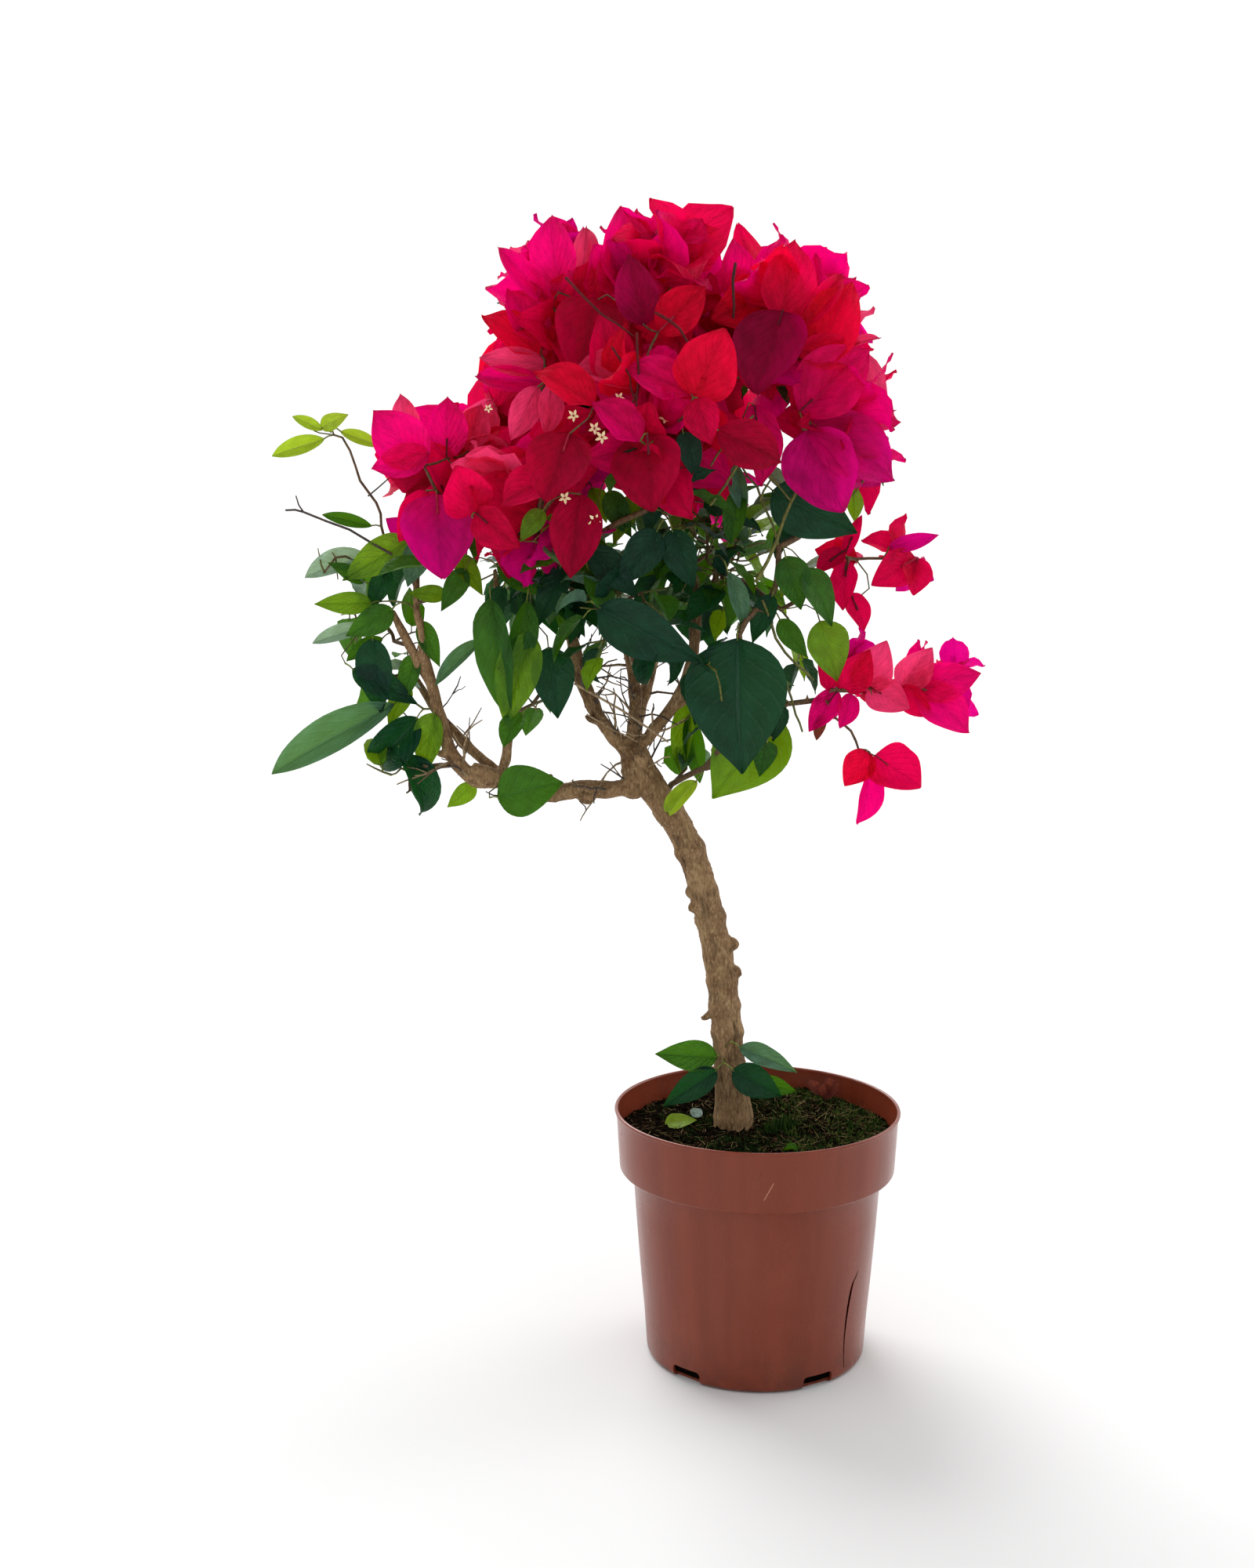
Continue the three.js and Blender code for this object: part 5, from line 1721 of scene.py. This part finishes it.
def grow_to(place, heading, step=8 * MM):
    """Grows a bent twig from the best knot to a place and returns its last knot."""
    spots = np.array(knots_place)
    reach = place - spots
    distance = np.linalg.norm(reach, axis=1)
    forward = (reach / np.maximum(distance, 1e-6)[:, None] * np.array(knots_heading)).sum(1)
    parent = int((distance * (1 + 0.45 * (1 - forward))).argmin())
    start, leave = spots[parent], np.array(knots_heading[parent])
    span = distance[parent]
    if span < 2 * MM:
        return parent
    leave = unit(leave * 0.6 + reach[parent] / span)
    wander = [noise.noise(Vector(place) * 60 + Vector((0, 0, 7 * axis))) for axis in range(3)]
    bend = np.array(wander) * 0.16 * span
    first = start + leave * span * 0.36 + bend
    last = place - unit(heading) * span * 0.34 - bend * 0.6
    count = max(2, round(span / step))
    knot = parent
    before = start
    for share in np.arange(1, count + 1) / count:
        spot = (start * (1 - share) ** 3 + first * 3 * share * (1 - share) ** 2
                + last * 3 * share ** 2 * (1 - share) + place * share ** 3)
        if share < 1:
            spot = spot + any_direction() * 0.5 * MM
        knot = add_knot(spot, unit(spot - before), knot)
        before = spot
    return knot


def follow(line, weight):
    """Grows to the start of a measured twig, then along it."""
    knot = grow_to(line[0], line[1] - line[0])
    for before, spot in zip(line, line[1:]):
        knot = add_knot(spot, unit(spot - before), knot)
    knots_load[knot] += weight


wood_spots = np.array(knots_place)
for late in (False, True):
    if late:
        for name in THIN:
            line = limbs[name][0]
            outwards = line[-1] if name != "twig_hanging" else line[line[:, 2].argmin()]
            if np.linalg.norm(line[0] - outwards) < 1 * MM:
                line = line[::-1]
            if name == "sprig_stem" and line[0][2] > line[-1][2]:
                line = line[::-1]
            follow(line[::3], 1.0)
    now = [target for target in targets if target["late"] == late]
    now.sort(key=lambda target: np.linalg.norm(wood_spots - target["place"], axis=1).min())
    for target in now:
        knot = grow_to(target["place"], target["heading"])
        knots_load[knot] += target["weight"]
for knot in range(len(knots_place) - 1, wood_knots - 1, -1):
    if knots_parent[knot] >= wood_knots:
        knots_load[knots_parent[knot]] += knots_load[knot]
TWIG = 0.45 * MM
THICKEST_TWIG = 1.8 * MM
THICKENING = 0.42
knots_radius = [min(THICKEST_TWIG, TWIG * max(load, 0.6) ** THICKENING) for load in knots_load]
print("twigs:", len(knots_place) - wood_knots, "knots for", len(targets), "shoots")

# %% [markdown]
# ### Thickness and thorns
# Each run of knots becomes a tube of five or six sides, the strongest child going on and
# the others starting tubes of their own. The thicker ones carry the plant's thorns.

# %% Give them thickness and thorns
twigs = new_heap()


def add_tube(line, radii, finish, sides=5):
    """Puts a tube round a run of points into the heap of twigs, closed at its end."""
    line, radii = np.asarray(line), np.asarray(radii)
    ahead = headings(line) if len(line) > 2 else np.tile(unit(line[-1] - line[0]), (2, 1))
    side = square_to(ahead[0], (0.2, 0.3, 0.9))
    first = twigs["count"]
    for spot, radius, heading in zip(line, radii, ahead):
        side = square_to(heading, side)
        across = np.cross(heading, side)
        turns = np.arange(sides) * 2 * math.pi / sides
        rim = np.outer(np.cos(turns), side) + np.outer(np.sin(turns), across)
        twigs["corners"].append(spot + radius * rim)
    twigs["corners"].append(np.array([line[-1] + ahead[-1] * radii[-1]]))
    for ring in range(len(line) - 1):
        for turn in range(sides):
            low, next_low = first + ring * sides + turn, first + ring * sides + (turn + 1) % sides
            twigs["faces"].append((low, next_low, next_low + sides, low + sides))
    last = first + (len(line) - 1) * sides
    for turn in range(sides):
        twigs["faces"].append((last + turn, last + (turn + 1) % sides, last + sides))
    count = len(line) * sides + 1
    twigs["finish"].extend([finish] * ((len(line) - 1) * sides + sides))
    twigs["uv"].append(np.zeros((count, 2)))
    twigs["count"] += count


STEM_TONES = ("brown", "green", "thorn", "stalk", "dry", "bare", "red", "dark")
BROWN, GREEN, THORN, STALK, DRY, BARE = range(6)
THORN_SHARE = 0.16
children = {}
for knot in range(wood_knots, len(knots_place)):
    children.setdefault(knots_parent[knot], []).append(knot)
waiting = [(parent, child) for parent in range(wood_knots) for child in children.get(parent, [])]
thorn_spots = []
while waiting:
    parent, knot = waiting.pop()
    line, radii = [knots_place[parent], knots_place[knot]], [knots_radius[knot] * 1.15, knots_radius[knot]]
    while children.get(knot):
        following = max(children[knot], key=lambda child: knots_load[child])
        waiting += [(knot, child) for child in children[knot] if child != following]
        knot = following
        line.append(knots_place[knot])
        radii.append(knots_radius[knot])
        if chance.random() < THORN_SHARE and knots_radius[knot] > 0.7 * MM:
            thorn_spots.append((knots_place[knot], knots_heading[knot], knots_radius[knot]))
    finish = BROWN if max(radii) > 0.95 * MM else GREEN
    add_tube(line, radii, finish, sides=6 if max(radii) > 1.4 * MM else 5)
for place, heading, radius in thorn_spots:
    out = square_to(heading, any_direction())
    length = chance.uniform(4, 7) * MM
    add_tube([place, place + (out + heading * 0.3) * length * 0.55, place + (out + heading * 0.15) * length],
             [radius * 0.7, radius * 0.4, 0.08 * MM], THORN, sides=4)
for course in shoots:
    add_tube(course, np.linspace(0.75, 0.4, len(course)) * MM, GREEN, sides=4)
for start, end in stalks:
    sag = (start + end) / 2 + np.array([0, 0, 0.6 * MM])
    add_tube([start, sag, end], [0.55 * MM, 0.42 * MM, 0.45 * MM], STALK, sides=4)
for places, radius, tone in PLACED_STEMS:
    line = [seen(*place) for place in places]
    course = [line[0]]
    for start, end in zip(line, line[1:]):
        middle = (start + end) / 2 + any_direction() * 0.8 * MM
        course += [middle, end]
    add_tube(course, np.linspace(1, 0.75, len(course)) * radius * MM, STEM_TONES.index(tone))

# %% [markdown]
# ### Dry twiglets
# Where the crown shades itself, the fork is cluttered with short dead shoots. Each walks
# off its bough with a few bends, and the longer ones fork once.

# %% Dry twiglets that clutter the fork
# limb, the stretch of it that they stand on, and how many
DRY_TWIGLETS = (("bough_up_left", 0.05, 0.8, 15), ("bough_up_middle", 0.05, 0.8, 15),
                ("bough_right", 0.05, 0.7, 10), ("bough_back", 0.05, 0.6, 8),
                ("limb_left_low", 0.1, 0.95, 6), ("limb_left_up", 0.1, 0.9, 8),
                ("bough_left_riser", 0.1, 0.7, 4), ("trunk", 0.93, 0.99, 4))
for name, first, last, count in DRY_TWIGLETS:
    line, radii = limbs[name]
    for _ in range(count):
        knot = int(chance.uniform(first, last) * (len(line) - 1))
        along = headings(line)[knot]
        out = square_to(along, any_direction() + (0, -0.5, 0.4))
        spot = line[knot] + out * radii[knot] * 0.6
        heading = unit(out + along * chance.uniform(0.2, 0.9))
        course = [spot]
        for _ in range(chance.choice((3, 4, 5))):
            heading = unit(heading + any_direction() * 0.35)
            course.append(course[-1] + heading * chance.uniform(4.5, 8) * MM)
        if shows_sky(course[-1], course[-2]) and name != "limb_left_up":
            continue
        radius = chance.uniform(0.45, 0.95) * MM
        tone = chance.choice((BROWN, DRY, DRY, BARE))
        add_tube(course, np.linspace(1, 0.45, len(course)) * radius, tone, sides=4)
        if len(course) > 3:
            fork = [course[2]]
            branch = unit(heading + any_direction() * 0.9)
            for _ in range(2):
                fork.append(fork[-1] + branch * chance.uniform(4, 8) * MM)
                branch = unit(branch + any_direction() * 0.4)
            add_tube(fork, np.array([0.5, 0.4, 0.3]) * MM, chance.choice((BROWN, DRY, BARE)), sides=4)
print("thorns:", len(thorn_spots), "stalks:", len(stalks))

# %% [markdown]
# ## Living finishes
# A bract is tissue paper: matt, veined, and brighter with the light behind it. A leaf is
# leathery: glossier above, with a pale rib, and lets through yellow-green light. Each
# tint is a material of its own with a translucent share, dealt out bloom by bloom and
# spray by spray, so that the colours stay where they are on the plant. Mottling, creases
# and veins follow the blade's own flat coordinates: a rib up the middle, side veins that
# leave it at a slant, and a net of fine cells between them.

# %% Veined blades
def vein_height(material, count, slant, fineness):
    """Height of veins over a blade: u runs across from 0 to 1, v from root to tip."""
    tree = material.node_tree

    def maths(operation, *inputs):
        node = node_of(tree, "ShaderNodeMath", operation=operation)
        for slot, value in enumerate(inputs):
            if isinstance(value, (int, float)):
                node.inputs[slot].default_value = value
            else:
                tree.links.new(value, node.inputs[slot])
        return node.outputs[0]

    flat = node_of(tree, "ShaderNodeUVMap", uv_map="blade")
    apart = node_of(tree, "ShaderNodeSeparateXYZ")
    tree.links.new(flat.outputs["UV"], apart.inputs[0])
    off_rib = maths("ABSOLUTE", maths("SUBTRACT", apart.outputs["X"], 0.5))
    rib = maths("SUBTRACT", 1.0, maths("MULTIPLY", off_rib, 22.0))
    rib = maths("MAXIMUM", rib, 0.0)
    phase = maths("MULTIPLY", maths("SUBTRACT", apart.outputs["Y"], maths("MULTIPLY", off_rib, slant)), count)
    side = maths("POWER", maths("ABSOLUTE", maths("COSINE", phase)), 14.0)
    cells = node_of(tree, "ShaderNodeTexVoronoi", feature="DISTANCE_TO_EDGE")
    cells.inputs["Scale"].default_value = fineness
    tree.links.new(flat.outputs["UV"], cells.inputs["Vector"])
    net = maths("MULTIPLY", maths("MINIMUM", maths("MULTIPLY", cells.outputs["Distance"], 5.0), 1.0), -0.35)
    return maths("ADD", maths("ADD", rib, maths("MULTIPLY", side, 0.6)), net)


def living(name, colour, through, share, roughness, count, depth, gloss=0.2, fineness=16, vein=0.7):
    """A blade's finish: mottled and veined colour, plain translucent colour, veined bump.

    vein: how much darker or lighter than the blade its veins are.
    """
    material = plain_material(name, colour, roughness, gloss)
    tree = material.node_tree
    shader = tree.nodes["Principled BSDF"]
    height = vein_height(material, count, 0.9, fineness)
    flat = node_of(tree, "ShaderNodeUVMap", uv_map="blade")
    crumple = node_of(tree, "ShaderNodeTexNoise")
    crumple.inputs["Scale"].default_value = 5
    tree.links.new(flat.outputs["UV"], crumple.inputs["Vector"])
    dark, light = (tuple(part * change for part in colour) for change in (0.72, 1.16))
    mottled = mix_colours(material, spread_range(material, crumple.outputs[0], 0.36, 0.62), dark, light)
    veined = tuple(min(1.0, part * vein + (0.02 if vein > 1 else 0)) for part in colour)
    on_vein = spread_range(material, height, 0.1, 0.9, 0.0, 0.75)
    tree.links.new(mix_colours(material, on_vein, mottled, veined), shader.inputs["Base Color"])
    crumpled = bump(material, crumple.outputs[0], depth * 4, 0.7)
    veins = bump(material, height, depth, 0.9, under=crumpled)
    tree.links.new(veins, shader.inputs["Normal"])
    uneven = speckle(material, 160, detail=3)
    tree.links.new(spread_range(material, uneven, 0.3, 0.7, roughness - 0.09, roughness + 0.09),
                   shader.inputs["Roughness"])
    glow = node_of(tree, "ShaderNodeBsdfTranslucent")
    glow.inputs["Color"].default_value = (*through, 1)
    tree.links.new(veins, glow.inputs["Normal"])
    both = node_of(tree, "ShaderNodeMixShader")
    both.inputs[0].default_value = share
    tree.links.new(shader.outputs[0], both.inputs[1])
    tree.links.new(glow.outputs[0], both.inputs[2])
    tree.links.new(both.outputs[0], tree.nodes["Material Output"].inputs["Surface"])
    return material


# the two darkest crimson tints are painted shade; rose is a pale pink with painted side light in it
BRACT_CHIPS = {
    "magenta": (chip(226, 0, 98), chip(252, 0, 128)),
    "violet": (chip(206, 0, 112), chip(240, 0, 144)),
    "crimson": (chip(210, 0, 66), chip(246, 0, 84)),
    "red": (chip(220, 2, 52), chip(250, 4, 62)),
    "shaded_crimson": (chip(164, 0, 48), chip(212, 0, 68)),
    "shaded_plum": (chip(140, 0, 60), chip(190, 0, 84)),
    "rose": (chip(236, 54, 110), chip(255, 70, 128)),
    "dry": (chip(110, 50, 44), chip(140, 70, 50)),
}
bract_finishes = [living("bract_" + tint, *BRACT_CHIPS[tint], 0.5, 0.6, 26, 0.4 * MM,
                         gloss=0.12, fineness=20, vein=0.6) for tint in BRACT_TINTS]
# dark is the leaves' own dark green with painted shade in it, bright a yellow-green with painted light
# through it, pale a painted lit green, grey a painted sheen
LEAF_CHIPS = {
    "dark": (chip(12, 56, 40), chip(34, 96, 22)),
    "mid": (chip(36, 86, 24), chip(92, 150, 8)),
    "bright": (chip(80, 126, 20), chip(148, 188, 10)),
    "sheen_grey": (chip(78, 118, 96), chip(100, 146, 60)),
    "pale": (chip(142, 170, 158), chip(150, 180, 120)),
}
leaf_finishes = []
for tint in LEAF_TINTS:
    colour, through = LEAF_CHIPS[tint]
    leaf_finishes.append(living("leaf_" + tint, colour, through, 0.32, 0.36, 30, 0.5 * MM, vein=1.35))
    lighter = tuple(part * 1.25 + 0.012 for part in colour)
    leaf_finishes.append(living("rib_" + tint, lighter, through, 0.25, 0.4, 30, 0.2 * MM, vein=1.1))
young_finishes = [
    living("leaf_young", chip(136, 168, 44), chip(180, 210, 40), 0.35, 0.4, 30, 0.2 * MM, vein=1.15),
    living("rib_young", chip(160, 186, 84), chip(190, 214, 80), 0.2, 0.45, 30, 0.1 * MM, vein=1.1)]

# %% [markdown]
# ### Finishes for twigs, thorns and flowers
# At this size one recipe does for all: two near colours in flecks that run along the
# plant's height, a little uneven gloss and a fine bump.

# %% Twig and flower finishes
def twig_finish(name, dark, light, roughness=0.7):
    material = plain_material(name, dark, roughness, gloss=0.25)
    flecks = speckle(material, 700, (1, 1, 0.4), detail=4)
    feed(material, Base_Color=mix_colours(material, spread_range(material, flecks, 0.35, 0.65), dark, light),
         Roughness=spread_range(material, flecks, 0.3, 0.7, roughness - 0.15, roughness + 0.1),
         Normal=bump(material, flecks, 0.2 * MM, 0.6))
    return material


twig_finishes = [twig_finish("twig_brown", chip(72, 54, 38), chip(112, 90, 62)),
                 twig_finish("twig_green", chip(74, 76, 34), chip(112, 112, 54), 0.6),
                 twig_finish("thorn", chip(82, 62, 40), chip(130, 104, 66), 0.5),
                 twig_finish("stalk", chip(92, 104, 40), chip(132, 140, 62), 0.55),
                 twig_finish("twig_dry", chip(104, 84, 60), chip(168, 146, 112)),
                 twig_finish("twig_bare", chip(46, 40, 38), chip(84, 74, 66)),
                 twig_finish("stem_red", chip(64, 4, 12), chip(104, 14, 20), 0.55),
                 twig_finish("stem_dark", chip(40, 8, 12), chip(66, 16, 18), 0.55)]
flower_finishes = [twig_finish("tube_dark", chip(64, 4, 20), chip(104, 10, 34), 0.6),
                   twig_finish("tube_red", chip(120, 10, 36), chip(176, 30, 60), 0.6),
                   twig_finish("star_cream", chip(228, 206, 150), chip(246, 232, 190), 0.6),
                   twig_finish("star_pink", chip(236, 160, 170), chip(246, 200, 190), 0.6)]

# %% [markdown]
# ### Pouring the heaps
# All of one kind become one piece, since thousands of objects would slow everything
# down, and a piece hides the frame's masses that it stands for.

# %% Join each kind into its piece
pour(bracts, "bracts", bract_finishes, [name for name in masses if name.startswith("blossom_")])
pour(flowers, "tube_flowers", flower_finishes, None)
YOUNG_MASSES = ("leaves_sprig", "leaves_trunk")
pour(leaves, "leaves", leaf_finishes,
     [name for name in masses if name.startswith("leaves_") and name not in YOUNG_MASSES])
pour(young_leaves, "young_leaves", young_finishes, YOUNG_MASSES)
pour(twigs, "twigs", twig_finishes, THIN)

# %% Measure the finished scene's bounds
low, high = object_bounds()
